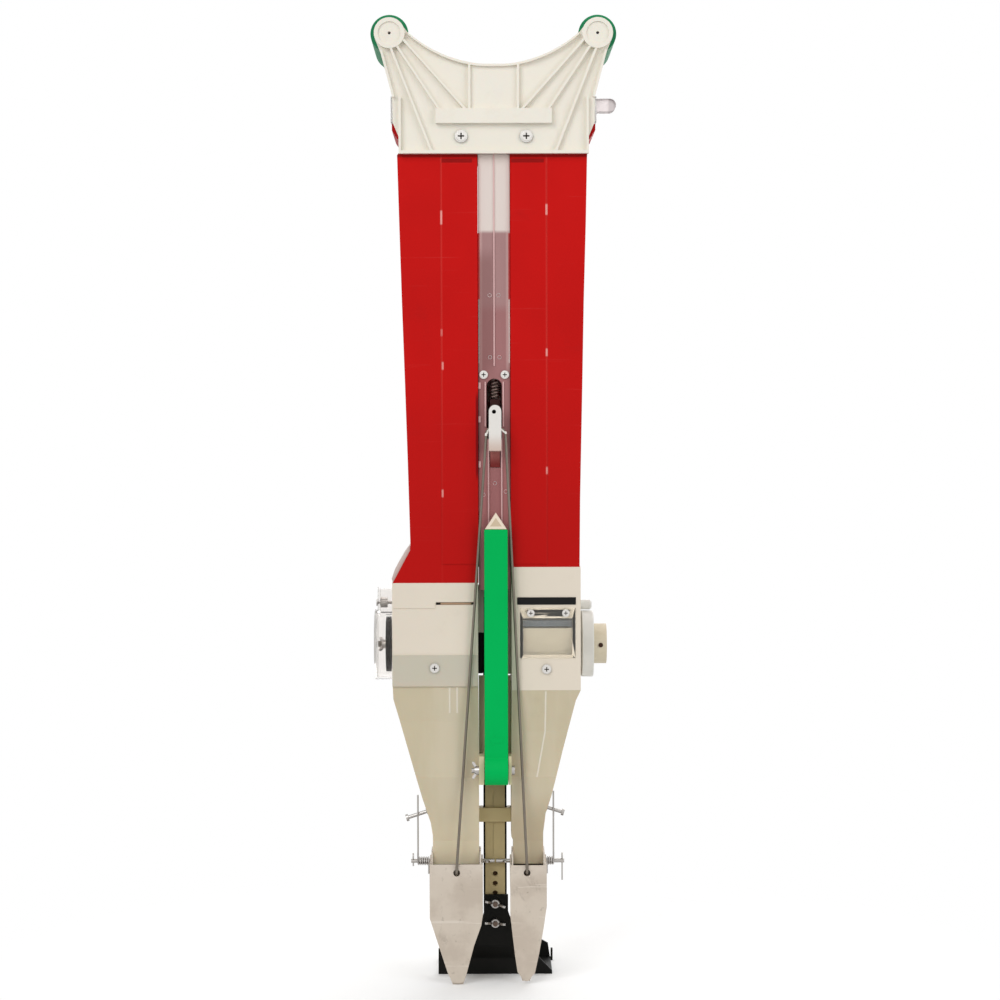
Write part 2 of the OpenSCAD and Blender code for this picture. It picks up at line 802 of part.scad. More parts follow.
// Rack: a strip behind the bar, with straight-sided teeth that the pinion runs on
module rack() {
    pitch = PI * gear_module;
    addendum_y = pitch_y + gear_module;
    half_root = pitch / 4 - backlash / 4 + 1.25 * gear_module * tan(tooth_angle);
    half_tip = pitch / 4 - backlash / 4 - gear_module * tan(tooth_angle);
    first = -floor((stroke + 14) / pitch);
    last = ceil(14 / pitch);
    color("dimgray") placed() {
        difference() {
            box(-rack_half, rack_half, rack_front_y, root_y, rack_bottom_z, bar_top_z - 30);
            for (i = bolt_rows) bar_y(rack_front_y - cut, root_y + cut, 0, top_hole_z - i * hole_pitch, hole_r);
        }
        for (i = [first:last])
            slab_yz(
                [
                    [root_y - 0.5, shaft_z + (i + 0.5) * pitch - half_root],
                    [root_y, shaft_z + (i + 0.5) * pitch - half_root],
                    [addendum_y, shaft_z + (i + 0.5) * pitch - half_tip],
                    [addendum_y, shaft_z + (i + 0.5) * pitch + half_tip],
                    [root_y, shaft_z + (i + 0.5) * pitch + half_root],
                    [root_y - 0.5, shaft_z + (i + 0.5) * pitch + half_root],
                ],
                pinion_x0 - 0.7, pinion_x1 + 0.7
            );
    }
}

// Foot: a tongue bolted to the bar, cranked back to a wide plate with a flat sole
module foot() {
    crank_z = 30;
    crank_end_z = 16;
    spread_z = 64;
    spread = 12;
    lip_h = 20;
    lip_half = 46.5;
    color("black") placed()
        difference() {
            union() {
                slab_yz(
                    [
                        [tongue_front_y, tongue_top_z],
                        [tongue_front_y, crank_z],
                        [foot_front_y, crank_end_z],
                        [foot_front_y, 0],
                        [foot_front_y + foot_t, 0],
                        [foot_front_y + foot_t, crank_end_z + 1],
                        [tongue_back_y, crank_z + 1],
                        [tongue_back_y, tongue_top_z],
                    ],
                    tongue_x0, tongue_x1
                );
                slab_xz(
                    [
                        [tongue_x0, spread_z], [tongue_x0 - spread, crank_z],
                        [tongue_x1 + spread, crank_z], [tongue_x1, spread_z],
                    ],
                    tongue_front_y, tongue_back_y
                );
                slab_yz(
                    [
                        [tongue_front_y, crank_z + 1], [tongue_front_y, crank_z],
                        [foot_front_y, crank_end_z], [foot_front_y + foot_t, crank_end_z + 1],
                        [tongue_back_y, crank_z + 1],
                    ],
                    tongue_x0 - spread, tongue_x1 + spread
                );
                slab_xz(
                    [
                        [-foot_half, 0], [foot_half, 0], [foot_half, 3], [42, 17],
                        [14, 36], [-14, 36], [-foot_half, 25],
                    ],
                    foot_front_y, foot_front_y + foot_t
                );
                box(-foot_half, foot_half, foot_front_y, foot_back_y, 0, foot_t - 0.4);
                slab_xz(
                    [
                        [-foot_half, 0], [foot_half, 0], [foot_half - 2.4, lip_h - 3.5],
                        [lip_half, lip_h], [-lip_half, lip_h], [-foot_half + 2.4, lip_h - 3.5],
                    ],
                    foot_back_y - foot_t, foot_back_y
                );
                box(foot_half - 2.6, foot_half + 2.2, foot_back_y - 8, foot_back_y - foot_t, 0, foot_t);
                box(foot_half + 0.2, foot_half + 2.2, foot_back_y - 8, foot_back_y - foot_t, 0, 12);
            }
            for (i = bolt_rows)
                bar_y(tongue_front_y - cut, tongue_back_y + cut, 0, top_hole_z - i * hole_pitch, hole_r);
        }
}

module foot_bolts() {
    color("silver") placed()
        for (i = bolt_rows)
            translate([0, root_y, top_hole_z - i * hole_pitch]) {
                rotate([90, 0, 0]) cylinder(h = root_y - bar_front_y + foot_t + 8, r = hole_r - 0.1);
                rotate([-90, 0, 0]) cylinder(h = 3, r = 4.6, $fn = 6);
            }
}

module foot_wing_nuts() {
    color("silver") placed()
        for (i = bolt_rows)
            translate([0, tongue_front_y, top_hole_z - i * hole_pitch])
                rotate([90, i == bolt_rows[0] ? 16 : 4, 0])
                    wing_nut(4.8, 5, hole_r - 0.08, 10.2);
}

// Housings
module housing_box(x0, x1, z0, z1) {
    difference() {
        box(x0, x1, -face_y, face_y, z0, z1);
        box(
            x0 + housing_wall, x1 - housing_wall,
            -face_y + housing_wall, face_y - housing_wall,
            z0 - cut, z1 + cut
        );
    }
}

module seed_housing() {
    floor_z = gate_z - 3.4;
    port_x0 = gate_x0 + 4;
    port_x1 = gate_x1 - 4;
    seed_cheek = 5.4;
    color("antiquewhite") placed()
        difference() {
            union() {
                housing_box(-seed_x, -inner_x, seed_housing_z, seed_hopper_z);
                box(
                    -seed_x + cut, -inner_x - cut, -face_y + cut, face_y - cut,
                    floor_z, gate_z - 0.2
                );
                box(-seed_x, face_step_x, -face_y - panel_step, -face_y, floor_z, seed_hopper_z);
                box(face_step_x, -inner_x, -face_y - panel_step, -face_y, gate_z + 2, seed_hopper_z);
                box(
                    -inner_x - cut, -inner_x + seed_cheek, cheek_y, cheek_y + cheek_t,
                    shaft_z + 15.5, seed_hopper_z - 3
                );
            }
            box(port_x0, port_x1, -face_y + 8, -face_y + 44, floor_z - cut, gate_z + cut);
            box(gate_x0 - 0.3, -inner_x - 3, -face_y - 2, -face_y + 4, gate_z - 0.2, gate_z + 2.4);
            for (x = [-seed_x, -inner_x])
                bar_x(x - 2 * housing_wall, x + 2 * housing_wall, shaft_y, shaft_z, bush_r);
            bar_y(-face_y - 2, -face_y + 5, seed_screw[0], seed_screw[1], screw_r);
            bar_x(-seed_x - cut, -seed_x + 5, shaft_y, cover_screw_z, cover_screw_r);
            box(-seed_x - cut, -seed_x + 4, shaft_y - 8, shaft_y + 8, shaft_z + 12, shaft_z + 30);
        }
}

module fertiliser_housing() {
    chute_z0 = 300;
    chute_z1 = 343;
    chute_t = 1.5;
    fert_cheek = 3.8;
    color("antiquewhite") placed()
        difference() {
            union() {
                housing_box(inner_x, fert_x, fert_housing_z, fert_hopper_z);
                slab_yz(
                    [
                        [-face_y + 5, chute_z1], [-face_y + 5 + chute_t, chute_z1],
                        [-face_y + 11 + chute_t, chute_z0], [-face_y + 11, chute_z0],
                    ],
                    inner_x + cut, fert_x - cut
                );
                box(
                    inner_x - fert_cheek, inner_x + cut, cheek_y, cheek_y + cheek_t,
                    fert_housing_z + 14, fert_hopper_z - 6
                );
            }
            box(window_x0 + 3, window_x1 - 3, -face_y - cut, -face_y + 4, window_z0 + 3, window_z1 - 10);
            box(window_x0 - 2.6, window_x1 + 0.4, -face_y - cut, -face_y + 4, window_z1 + 3, window_z1 + 10);
            for (x = [inner_x, fert_x])
                bar_x(x - 2 * housing_wall, x + 2 * housing_wall, shaft_y, shaft_z, bush_r);
            bar_y(-face_y - 2, -face_y + 5, fert_screw[0], fert_screw[1], screw_r);
            for (x = window_screws) bar_y(-face_y - cut, -face_y + 5, x, window_z1 - 5, window_screw_r);
        }
}

module housing_screws() {
    color("silver")
        placed() {
            for (at = [seed_screw, fert_screw])
                translate([at[0], -face_y - (at == seed_screw ? collar_t : 0), at[1]])
                    rotate([90, 0, 0])
                        pan_screw(4.5, 2.6, screw_r, housing_wall + 5);
            for (x = window_screws)
                translate([x, -face_y - window_t, window_z1 - 5])
                    rotate([90, 0, 0])
                        pan_screw(3.6, 2, window_screw_r, housing_wall + window_t + 2);
        }
}

module seed_gate() {
    color("tan") placed() box(gate_x0, gate_x1, -face_y, -face_y + 48, gate_z, gate_z + 2);
}

// Clear cover over the seed disc: a round cup with a square box above it
module seed_cover() {
    cover_r = disc_r + 7.6;
    cover_wall = 2;
    box_half = 16;
    box_h = 57;
    color("lightcyan", 0.4)
        placed()
            difference() {
                union() {
                    bar_x(cover_out, -seed_x, shaft_y, shaft_z, cover_r);
                    box(
                        cover_box_out, -seed_x,
                        shaft_y - box_half, shaft_y + box_half,
                        shaft_z, shaft_z + box_h
                    );
                }
                bar_x(cover_out + cover_wall, -seed_x + cut, shaft_y, shaft_z, cover_r - cover_wall);
                box(
                    cover_box_out + cover_wall, -seed_x + cut,
                    shaft_y - box_half + cover_wall, shaft_y + box_half - cover_wall,
                    shaft_z, shaft_z + box_h - cover_wall
                );
                bar_x(cover_out, -seed_x, shaft_y, cover_screw_z, cover_screw_r);
            }
}

module cover_screw() {
    color("silver")
        placed() {
            bar_x(cover_box_out - 1, -seed_x + 4, shaft_y, cover_screw_z, cover_screw_r);
            bar_x(cover_box_out - 1.6, cover_box_out, shaft_y, cover_screw_z, 3.6);
            bar_x(-seed_x - 13.6, -seed_x - 6.8, shaft_y, cover_screw_z, 5.2);
        }
}

// Black guide that holds the plunger against the pinion
module rack_guide() {
    side_x = -rack_half - slack;
    color("black") placed() {
        box(-inner_x, side_x, bar_front_y - 10, root_y - 0.3, shaft_z - 25.5, shaft_z + 14.5);
        box(side_x - cut, -5, bar_front_y - 3.8, bar_front_y - slack, shaft_z - 25.5, shaft_z + 14.5);
    }
}

// Metering shaft and what turns with it
module metering_shaft() {
    color("silver") placed()
        difference() {
            union() {
                bar_x(-seed_x - 8, fert_x + 26, shaft_y, shaft_z, shaft_r);
                bar_x(-seed_x - 16, -seed_x - 7, shaft_y, shaft_z, 3);
            }
            box(fert_x + 17, fert_x + 27, shaft_y - shaft_r - cut, shaft_y - shaft_r + 0.8, shaft_z - 6, shaft_z + 6);
        }
}

module bush(x0, x1) {
    difference() {
        bar_x(x0, x1, shaft_y, shaft_z, bush_r);
        bar_x(x0 - cut, x1 + cut, shaft_y, shaft_z, shaft_r + run);
    }
}

module shaft_bushes() {
    color("saddlebrown") placed() {
        bush(-seed_x, -seed_x + 6);
        bush(-inner_x - 5, -inner_x);
        bush(inner_x, inner_x + 5);
        bush(fert_x - 6, fert_x);
    }
}

// One involute flank of the pinion, from the base circle to the tip
function involute(r, t) = r * [cos(t) + t * PI / 180 * sin(t), sin(t) - t * PI / 180 * cos(t)];
function turned(p, a) = [p[0] * cos(a) - p[1] * sin(a), p[0] * sin(a) + p[1] * cos(a)];

module pinion() {
    base_r = pitch_r * cos(tooth_angle);
    tip_r = pitch_r + gear_module;
    foot_r = pitch_r - 1.25 * gear_module;
    roll_tip = sqrt(pow(tip_r / base_r, 2) - 1) * 180 / PI;
    flank = tan(tooth_angle) * 180 / PI - tooth_angle;
    half_angle = 90 / pinion_teeth - backlash / 4 / pitch_r * 180 / PI + flank;
    steps = 4;
    side = [for (i = [0:steps]) involute(base_r, roll_tip * i / steps)];
    tooth = concat(
        [turned([foot_r, 0], -half_angle)],
        [for (p = side) turned(p, -half_angle)],
        [for (i = [steps:-1:0]) turned([side[i][0], -side[i][1]], half_angle)],
        [turned([foot_r, 0], half_angle)]
    );
    outline = [for (k = [0:pinion_teeth - 1], p = tooth) turned(p, 180 + 360 * k / pinion_teeth)];
    color("black") placed()
        difference() {
            translate([0, shaft_y, shaft_z]) slab_yz(outline, pinion_x0, pinion_x1);
            bar_x(pinion_x0 - cut, pinion_x1 + cut, shaft_y, shaft_z, shaft_r);
        }
}

module seed_disc() {
    disc_x = -seed_x - 8;
    cell_r = 2.6;
    color("black") placed()
        difference() {
            bar_x(disc_x, disc_x + 5, shaft_y, shaft_z, disc_r);
            bar_x(disc_x - cut, disc_x + 6, shaft_y, shaft_z, shaft_r);
            for (i = [0:disc_cells - 1])
                translate([
                    disc_x - cut,
                    shaft_y + (disc_r - 5) * cos(360 * i / disc_cells),
                    shaft_z + (disc_r - 5) * sin(360 * i / disc_cells),
                ])
                    rotate([0, 90, 0]) cylinder(h = 7, r = cell_r, $fn = 24);
        }
}

module disc_wing_nut() {
    color("silver") placed()
        translate([-seed_x - 8, shaft_y, shaft_z])
            rotate([0, -90, 0])
                rotate([0, 0, 50])
                    wing_nut(4.6, 4.4, 3, 9);
}

module fertiliser_roller() {
    x0 = inner_x + 9;
    x1 = fert_x - 10;
    color("beige") placed()
        difference() {
            bar_x(x0, x1, shaft_y, shaft_z, roller_r);
            bar_x(x0 - cut, x1 + cut, shaft_y, shaft_z, shaft_r);
            for (i = [0:flutes - 1])
                bar_x(
                    x0 + 4, x1 - 4,
                    shaft_y + roller_r * cos(360 * i / flutes),
                    shaft_z + roller_r * sin(360 * i / flutes),
                    4.2
                );
        }
}

module shaft_flange() {
    color("white") placed()
        difference() {
            union() {
                bar_x(fert_x, fert_x + 3, shaft_y, shaft_z, flange_r - 7);
                bar_x(fert_x + 3, fert_x + flange_w, shaft_y, shaft_z, flange_r);
            }
            bar_x(fert_x - cut, fert_x + flange_w + cut, shaft_y, shaft_z, shaft_r + run);
        }
}

module flange_peg() {
    peg_z = shaft_z + flange_r + 5.7;
    color("white") placed()
        difference() {
            union() {
                bar_x(fert_x, fert_x + 12, shaft_y, peg_z, 4.7);
                bar_x(fert_x + 12, fert_x + 13.2, shaft_y, peg_z, 3.6);
            }
            bar_x(fert_x + 10, fert_x + 14, shaft_y, peg_z, 1.3);
        }
}

module shaft_hub() {
    hub_x = fert_x + flange_w + slack;
    color("cornsilk") placed()
        difference() {
            bar_x(hub_x, hub_x + 12.6, shaft_y, shaft_z, 19.5);
            bar_x(hub_x - cut, fert_x + 26.1, shaft_y, shaft_z, shaft_r);
            bar_y(shaft_y - 21, shaft_y, hub_x + 6.6, shaft_z, 2.2);
        }
}

module hub_set_screw() {
    color("saddlebrown") placed() bar_y(shaft_y - 20.6, shaft_y - shaft_r + 0.7, fert_x + 21.5, shaft_z, 2.2);
}

module inspection_window() {
    color("lightcyan", 0.4) placed()
        difference() {
            box(window_x0, window_x1, -face_y - window_t, -face_y, window_z0, window_z1);
            for (x = window_screws) bar_y(-face_y - 3, -face_y + cut, x, window_z1 - 5, window_screw_r);
        }
}

module scraper_bar() {
    color("lightsteelblue") placed()
        box(inner_x + housing_wall, fert_x - housing_wall, -face_y + 13, -face_y + 16, window_z1 - 19, window_z1 - 13);
}

module brush_strip() {
    color("black") placed() box(window_x0 - 2.6, window_x1 + 0.4, -face_y - 1, -face_y + 18, window_z1 + 3, window_z1 + 10);
}

// Funnels: front outline and side outline of each, the same drawn in by the wall, and a lip under the front
seed_funnel_xz = [
    [-inner_x, seed_housing_z], [-seed_x, seed_housing_z], [-97.2, 275.5], [-84, 229.5],
    [-69.8, 178.9], [-62, 154.8], [-60.1, 142], [seed_socket_x, funnel_bottom_z],
    [-gap_x, funnel_bottom_z], [-gap_x, 240],
];
fert_funnel_xz = [
    [inner_x, fert_housing_z], [gap_x, 240], [gap_x, 141],
    [fert_socket_x[0], 137], [fert_socket_x[0], funnel_bottom_z],
    [fert_socket_x[1], funnel_bottom_z], [46.2, 145], [48.4, 163.6], [54.1, 182], [64.6, 225], [77.3, 273.9],
    [fert_x, fert_housing_z],
];

function funnel_yz(top, w) = [
    [-face_y + w, top + (w > 0 ? cut : 0)],
    [-face_y + 5 + w, top - 40],
    [-face_y + 5 + w, 200],
    [flap_back_y + 11 + w, 137],
    [flap_back_y + 11 + w, funnel_bottom_z - (w > 0 ? cut : 0)],
    [jaw_back_y - jaw_wall - w, funnel_bottom_z - (w > 0 ? cut : 0)],
    [jaw_back_y - jaw_wall - w, 137],
    [face_y - w, top - 10],
    [face_y - w, top + (w > 0 ? cut : 0)],
];

module funnel(xz, top, middle, x0, x1, lip) {
    inner = [
        for (p = narrowed(xz, middle, funnel_wall))
            [p[0], p[1] >= top - 0.01 ? top + cut : p[1] <= funnel_bottom_z + 0.01 ? funnel_bottom_z - cut : p[1]]
    ];
    difference() {
        intersection() {
            slab_xz(xz, -face_y, face_y);
            slab_yz(funnel_yz(top, 0), x0, x1);
        }
        intersection() {
            slab_xz(inner, -face_y, face_y);
            slab_yz(funnel_yz(top, funnel_wall), x0, x1);
        }
    }
    box(
        lip[0], lip[1],
        flap_back_y + 11, flap_back_y + 11 + funnel_wall,
        funnel_bottom_z - 3.6, funnel_bottom_z + 0.5
    );
}

// A tab inside the housing that takes its screw
module screw_tab(at, top) {
    difference() {
        union() {
            box(
                at[0] - 8, at[0] + 8,
                -face_y + housing_wall, -face_y + housing_wall + 6,
                top - 12, at[1] + 7
            );
            box(at[0] - 8, at[0] + 8, -face_y + 1.8, -face_y + housing_wall + 6, top - 12, top);
        }
        bar_y(-face_y, -face_y + 12, at[0], at[1], screw_r);
    }
}

module seed_funnel() {
    color("wheat", 0.85) placed() {
        difference() {
            union() {
                funnel(seed_funnel_xz, seed_housing_z, -35, -seed_x, 0, [seed_socket_x, -gap_x]);
                box(-seed_x, -inner_x, -face_y - collar_t, -face_y, seed_housing_z, collar_z);
                box(-seed_x, -inner_x, -face_y - collar_t, -face_y + collar_t, seed_housing_z - 6, seed_housing_z);
            }
            bar_y(-face_y - 2 * collar_t, -face_y + collar_t, seed_screw[0], seed_screw[1], screw_r);
            on_wall(seed_wall, seed_anchor_z) translate([0, 0, -9]) cylinder(h = 18, r = anchor_r);
        }
        screw_tab(seed_screw, seed_housing_z);
    }
}

module fertiliser_funnel() {
    color("wheat", 0.85) placed() {
        difference() {
            funnel(fert_funnel_xz, fert_housing_z, 30, 0, fert_x, fert_socket_x);
            on_wall(fert_wall, fert_anchor_z) translate([0, 0, -9]) cylinder(h = 18, r = anchor_r);
        }
        screw_tab(fert_screw, fert_housing_z);
    }
}

// Strap that guides the bar between the funnels
module bar_strap() {
    strap_z = 151.6;
    strap_h = 13.8;
    color("cornsilk") placed()
        difference() {
            box(-gap_x, gap_x, bar_front_y - 4, root_y + 4, strap_z, strap_z + strap_h);
            box(
                -rack_half - slack, rack_half + slack,
                bar_front_y - slack, root_y + slack,
                strap_z - cut, strap_z + strap_h + cut
            );
        }
}

// Ruler
module ruler_bracket() {
    ear_back_y = ruler_y + 30;
    web_top_z = shaft_z - 26;
    color("cornsilk") placed()
        difference() {
            union() {
                box(-gap_x, ruler_x0 - 0.5, ruler_y - 6, ear_back_y, ruler_z - 13, ruler_z + 14);
                box(ruler_x1 + 0.4, gap_x, ruler_y - 6, ear_back_y, ruler_z - 13, ruler_z + 14);
                box(-gap_x, gap_x, ear_back_y - 3, ear_back_y, ruler_z - 13, web_top_z);
            }
            bar_x(-gap_x - cut, gap_x + cut, ruler_y, ruler_z, ruler_bolt_r);
        }
}

module ruler_sleeve() {
    sleeve_y0 = ruler_y - ruler_t / 2;
    sleeve_y1 = ruler_y + ruler_t / 2;
    top = ruler_z + ruler_len;
    color("mediumseagreen") placed()
        difference() {
            union() {
                box(ruler_x0, ruler_x1, sleeve_y0, sleeve_y1, ruler_z, top);
                bar_x(ruler_x0, ruler_x1, ruler_y, ruler_z, ruler_hub_r);
            }
            box(
                ruler_x0 + ruler_wall, ruler_x1 - ruler_wall,
                sleeve_y0 + ruler_wall, sleeve_y1 - ruler_wall,
                top - rule_len - 10, top + cut
            );
            bar_x(ruler_x0 - cut, ruler_x1 + cut, ruler_y, ruler_z, ruler_bolt_r + run);
        }
}

module sliding_rule() {
    top = ruler_z + ruler_len;
    gap = ruler_wall + 0.2;
    tip_h = 16;
    color("cornsilk") placed() {
        box(
            ruler_x0 + gap, ruler_x1 - gap,
            ruler_y - ruler_t / 2 + gap, ruler_y + ruler_t / 2 - gap,
            top - rule_len, top + 0.5
        );
        slab_xz(
            [[ruler_x0 + 0.8, top + 0.2], [ruler_x1 - 0.8, top + 0.2], [ruler_x, top + tip_h]],
            ruler_y - ruler_t / 2 + 0.8, ruler_y + ruler_t / 2 - 0.8
        );
    }
}

module ruler_bolt() {
    color("silver") placed() {
        bar_x(-gap_x - 7, gap_x + 1, ruler_y, ruler_z, ruler_bolt_r);
        translate([gap_x, ruler_y, ruler_z]) rotate([0, 90, 0]) cylinder(h = 3, r = 4.5, $fn = 24);
    }
}

module ruler_wing_nut() {
    color("silver") placed()
        translate([-gap_x, ruler_y, ruler_z])
            rotate([0, -90, 0])
                rotate([0, 0, 20])
                    wing_nut(4.4, 4.2, ruler_bolt_r, 8.5);
}

// Beaks: a fixed jaw behind and a hinged flap in front
seed_side_out = [[seed_flap_x[0], 64], [-54.2, 36.4], [-46.3, 12]];
seed_side_in = [[-27.5, 12], [-20.6, 37.6], [-13.8, 56.7], [seed_flap_x[1], 67]];
fert_side_in = [[fert_flap_x[0], 66], [15.6, 53.8], [18.6, 28], [21, 12]];
fert_side_out = [[37.8, 11], [42, 30.6], [46.1, 53.7], [fert_flap_x[1], 75.6]];
seed_flap_top = 116;
fert_flap_top = 115;
seed_flap_xz = concat(
    [[seed_flap_x[0], seed_flap_top]], seed_side_out,
    arc_pts([-42.3, 3], [-30.2, 3], -2, 6),
    seed_side_in, [[seed_flap_x[1], seed_flap_top]]
);
fert_flap_xz = concat(
    [[fert_flap_x[0], fert_flap_top]], fert_side_in,
    arc_pts([26, 5], [32.6, 5], -2, 6),
    fert_side_out, [[fert_flap_x[1], fert_flap_top]]
);
seed_jaw_xz = concat(
    [[seed_flap_x[0], socket_top_z]], seed_side_out,
    [[-43, 0], [-29.5, 0]],
    seed_side_in, [[seed_flap_x[1], socket_top_z]]
);
fert_jaw_xz = concat(
    [[fert_flap_x[0], socket_top_z]], fert_side_in,
    [[24.2, 3], [34.4, 3]],
    fert_side_out, [[fert_flap_x[1], socket_top_z]]
);

module jaw(xz, sides) {
    x0 = sides[0] - cut;
    x1 = sides[1] + cut;
    middle = (sides[0] + sides[1]) / 2;
    outer = narrowed(xz, middle, jaw_inset);
    inner = [
        for (p = narrowed(xz, middle, jaw_inset + jaw_wall))
            [p[0], p[1] > socket_top_z - 1 ? p[1] + cut : p[1] < 4 ? p[1] - cut : p[1]]
    ];
    difference() {
        intersection() {
            slab_xz(outer, flap_front_y, face_y);
            slab_yz(
                [
                    [jaw_front_y, 0], [jaw_tip_y, 0], [jaw_back_y, jaw_knee_z],
                    [jaw_back_y, socket_top_z], [jaw_front_y + 9.5, socket_top_z],
                    [jaw_front_y + 3.3, funnel_bottom_z], [jaw_front_y, pin_z - 8],
                ],
                x0, x1
            );
        }
        intersection() {
            slab_xz(inner, flap_front_y - cut, face_y);
            slab_yz(
                [
                    [flap_front_y - cut, -cut], [jaw_tip_y - jaw_wall - 0.4, -cut],
                    [jaw_tip_y - jaw_wall - 0.1, 0], [jaw_back_y - jaw_wall, jaw_knee_z + 0.3],
                    [jaw_back_y - jaw_wall, socket_top_z + cut], [flap_front_y - cut, socket_top_z + cut],
                ],
                x0, x1
            );
        }
        bar_x(x0, x1, pin_y, pin_z, pin_r);
    }
}

module seed_jaw() {
    color("silver") placed() jaw(seed_jaw_xz, seed_flap_x);
}

module fertiliser_jaw() {
    color("silver") placed() jaw(fert_jaw_xz, fert_flap_x);
}

// Flap: the front plate with two arms that reach back to the hinge pin
module flap(xz, sides, top, hole_x) {
    arm_r = 6;
    arm_z = 92;
    arm_pts = [
        [flap_front_y, top], [flap_front_y, arm_z], [flap_back_y + 7, arm_z],
        [pin_y, pin_z - arm_r], [pin_y, pin_z + arm_r], [pin_y - 14, top],
    ];
    difference() {
        union() {
            slab_xz(xz, flap_front_y, flap_back_y);
            for (x = [sides[0], sides[1] - arm_t]) {
                slab_yz(arm_pts, x, x + arm_t);
                bar_x(x, x + arm_t, pin_y, pin_z, arm_r);
            }
        }
        bar_x(sides[0] - cut, sides[1] + cut, pin_y, pin_z, pin_r + run);
        bar_y(flap_front_y - cut, flap_back_y + cut, hole_x, wire_hole_z, wire_r + 1.9);
    }
}

module seed_flap() {
    color("gainsboro") placed() flap(seed_flap_xz, seed_flap_x, seed_flap_top, wire_low_l[0]);
}

module fertiliser_flap() {
    color("gainsboro") placed() flap(fert_flap_xz, fert_flap_x, fert_flap_top, wire_low_r[0]);
}

// Screws square to the funnels' slanted walls, which the hinge springs' upper legs bear on
seed_wall = [[-69.8, 178.9], [-62, 154.8]];
fert_wall = [[54.1, 182], [48.4, 163.6]];
anchor_y = pin_y - coil_r + coil_wire_r + anchor_r + 0.05;

module on_wall(wall, z) {
    d = wall[1] - wall[0];
    x = wall[0][0] + d[0] * (z - wall[0][1]) / d[1];
    out = atan2(-d[0], d[1]) + 180;
    translate([x, anchor_y, z]) rotate([0, (x < 0 ? -1 : 1) * (90 + abs(90 - abs(atan2(d[1], d[0])))), 0]) children();
}

module anchor(l) {
    translate([0, 0, -funnel_wall - 2]) cylinder(h = l + funnel_wall + 2, r = anchor_r);
    translate([0, 0, l]) cylinder(h = 2.4, r = anchor_r * 1.9);
    cylinder(h = 2, r = anchor_r * 1.7, $fn = 6);
}

module anchor_screws() {
    color("silver")
        placed() {
            on_wall(seed_wall, seed_anchor_z) anchor(20.3);
            on_wall(fert_wall, fert_anchor_z) anchor(16);
        }
}

// Hinge pins with a split pin near each end
module clip_ring(ring_r, clip_r) {
    difference() {
        cylinder(h = 2 * clip_r, r = ring_r + clip_r, center = true);
        cylinder(h = 3 * clip_r, r = ring_r - clip_r, center = true);
    }
}

module hinge_pins() {
    ring_r = 2.6;
    clip_r = 0.7;
    long_leg = 19;
    short_leg = 5;
    color("silver")
        placed() {
            for (ends = [seed_pin, fert_pin]) bar_x(ends[0], ends[1], pin_y, pin_z, pin_r);
            for (x = [seed_pin[0] + 2, fert_pin[1] - 2]) {
                leg = x < 0 ? short_leg : long_leg;
                box(x - clip_r, x + clip_r, pin_y - clip_r, pin_y + clip_r, pin_z - leg, pin_z + pin_r + 1);
                translate([x, pin_y, pin_z + pin_r + ring_r]) rotate([0, 90, 0]) clip_ring(ring_r, clip_r);
            }
            for (x = [seed_flap_x[1] + 3.8, fert_flap_x[0] - 3.8]) {
                box(
                    x - clip_r, x + clip_r,
                    pin_y - pin_r - 1, pin_y + pin_r + 1.2,
                    pin_z - clip_r, pin_z + clip_r
                );
                translate([x, pin_y - pin_r - ring_r, pin_z]) clip_ring(ring_r, clip_r);
            }
        }
}

// Hinge spring: a close coil on the pin with one leg up to its anchor screw and one over the flap
function hinge_spring_path(x_end, dir, reach, turns) =
    let (
        n = 8 * turns,
        top = pin_z + reach
    )
    concat(
        [[x_end, pin_y - coil_r, top]],
        [for (i = [0:n]) [
            x_end + dir * coil_pitch * i / 8,
            pin_y - coil_r * cos(45 * i),
            pin_z - coil_r * sin(45 * i),
        ]],
        [[x_end + dir * coil_pitch * turns, pin_y - coil_r, pin_z - 12]]
    );
echo(hinge_spring_gap = coil_pitch - 2 * coil_wire_r);

seed_coil_x = seed_pin[0] + 6.7;
fert_coil_x = fert_pin[1] - 10.4;

module hinge_springs() {
    past_anchor = 16;
    seed_reach = seed_anchor_z - pin_z + past_anchor;
    fert_reach = fert_anchor_z - pin_z + past_anchor;
    color("gray") placed() {
        tube(hinge_spring_path(seed_coil_x, 1, seed_reach, seed_spring_turns), coil_wire_r, [1, 0, 0]);
        tube(hinge_spring_path(fert_coil_x, -1, fert_reach, fert_spring_turns), coil_wire_r, [1, 0, 0]);
    }
}

handle_front_plate();
handle_rear_plate();
handle_screws();
grip_left();
grip_right();
grip_cores();
seed_hopper();
fertiliser_hopper();
seed_lid();
fertiliser_lid();
lid_pins();
guide_strip();
guide_screws();
spine();
rear_strip();
return_spring();
slider_head();
lift_rod();
pull_wire_left();
pull_wire_right();
plunger_bar();
rack();
foot();
foot_bolts();
foot_wing_nuts();
seed_housing();
fertiliser_housing();
housing_screws();
seed_gate();
seed_cover();
cover_screw();
rack_guide();
metering_shaft();
shaft_bushes();
pinion();
seed_disc();
disc_wing_nut();
fertiliser_roller();
shaft_hub();
hub_set_screw();
shaft_flange();
flange_peg();
inspection_window();
scraper_bar();
brush_strip();
seed_funnel();
fertiliser_funnel();
bar_strap();
ruler_bracket();
ruler_sleeve();
sliding_rule();
ruler_bolt();
ruler_wing_nut();
seed_jaw();
fertiliser_jaw();
seed_flap();
fertiliser_flap();
hinge_pins();
hinge_springs();
anchor_screws();
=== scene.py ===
import json
import math

import bmesh
import bpy
from mathutils import Matrix, Vector


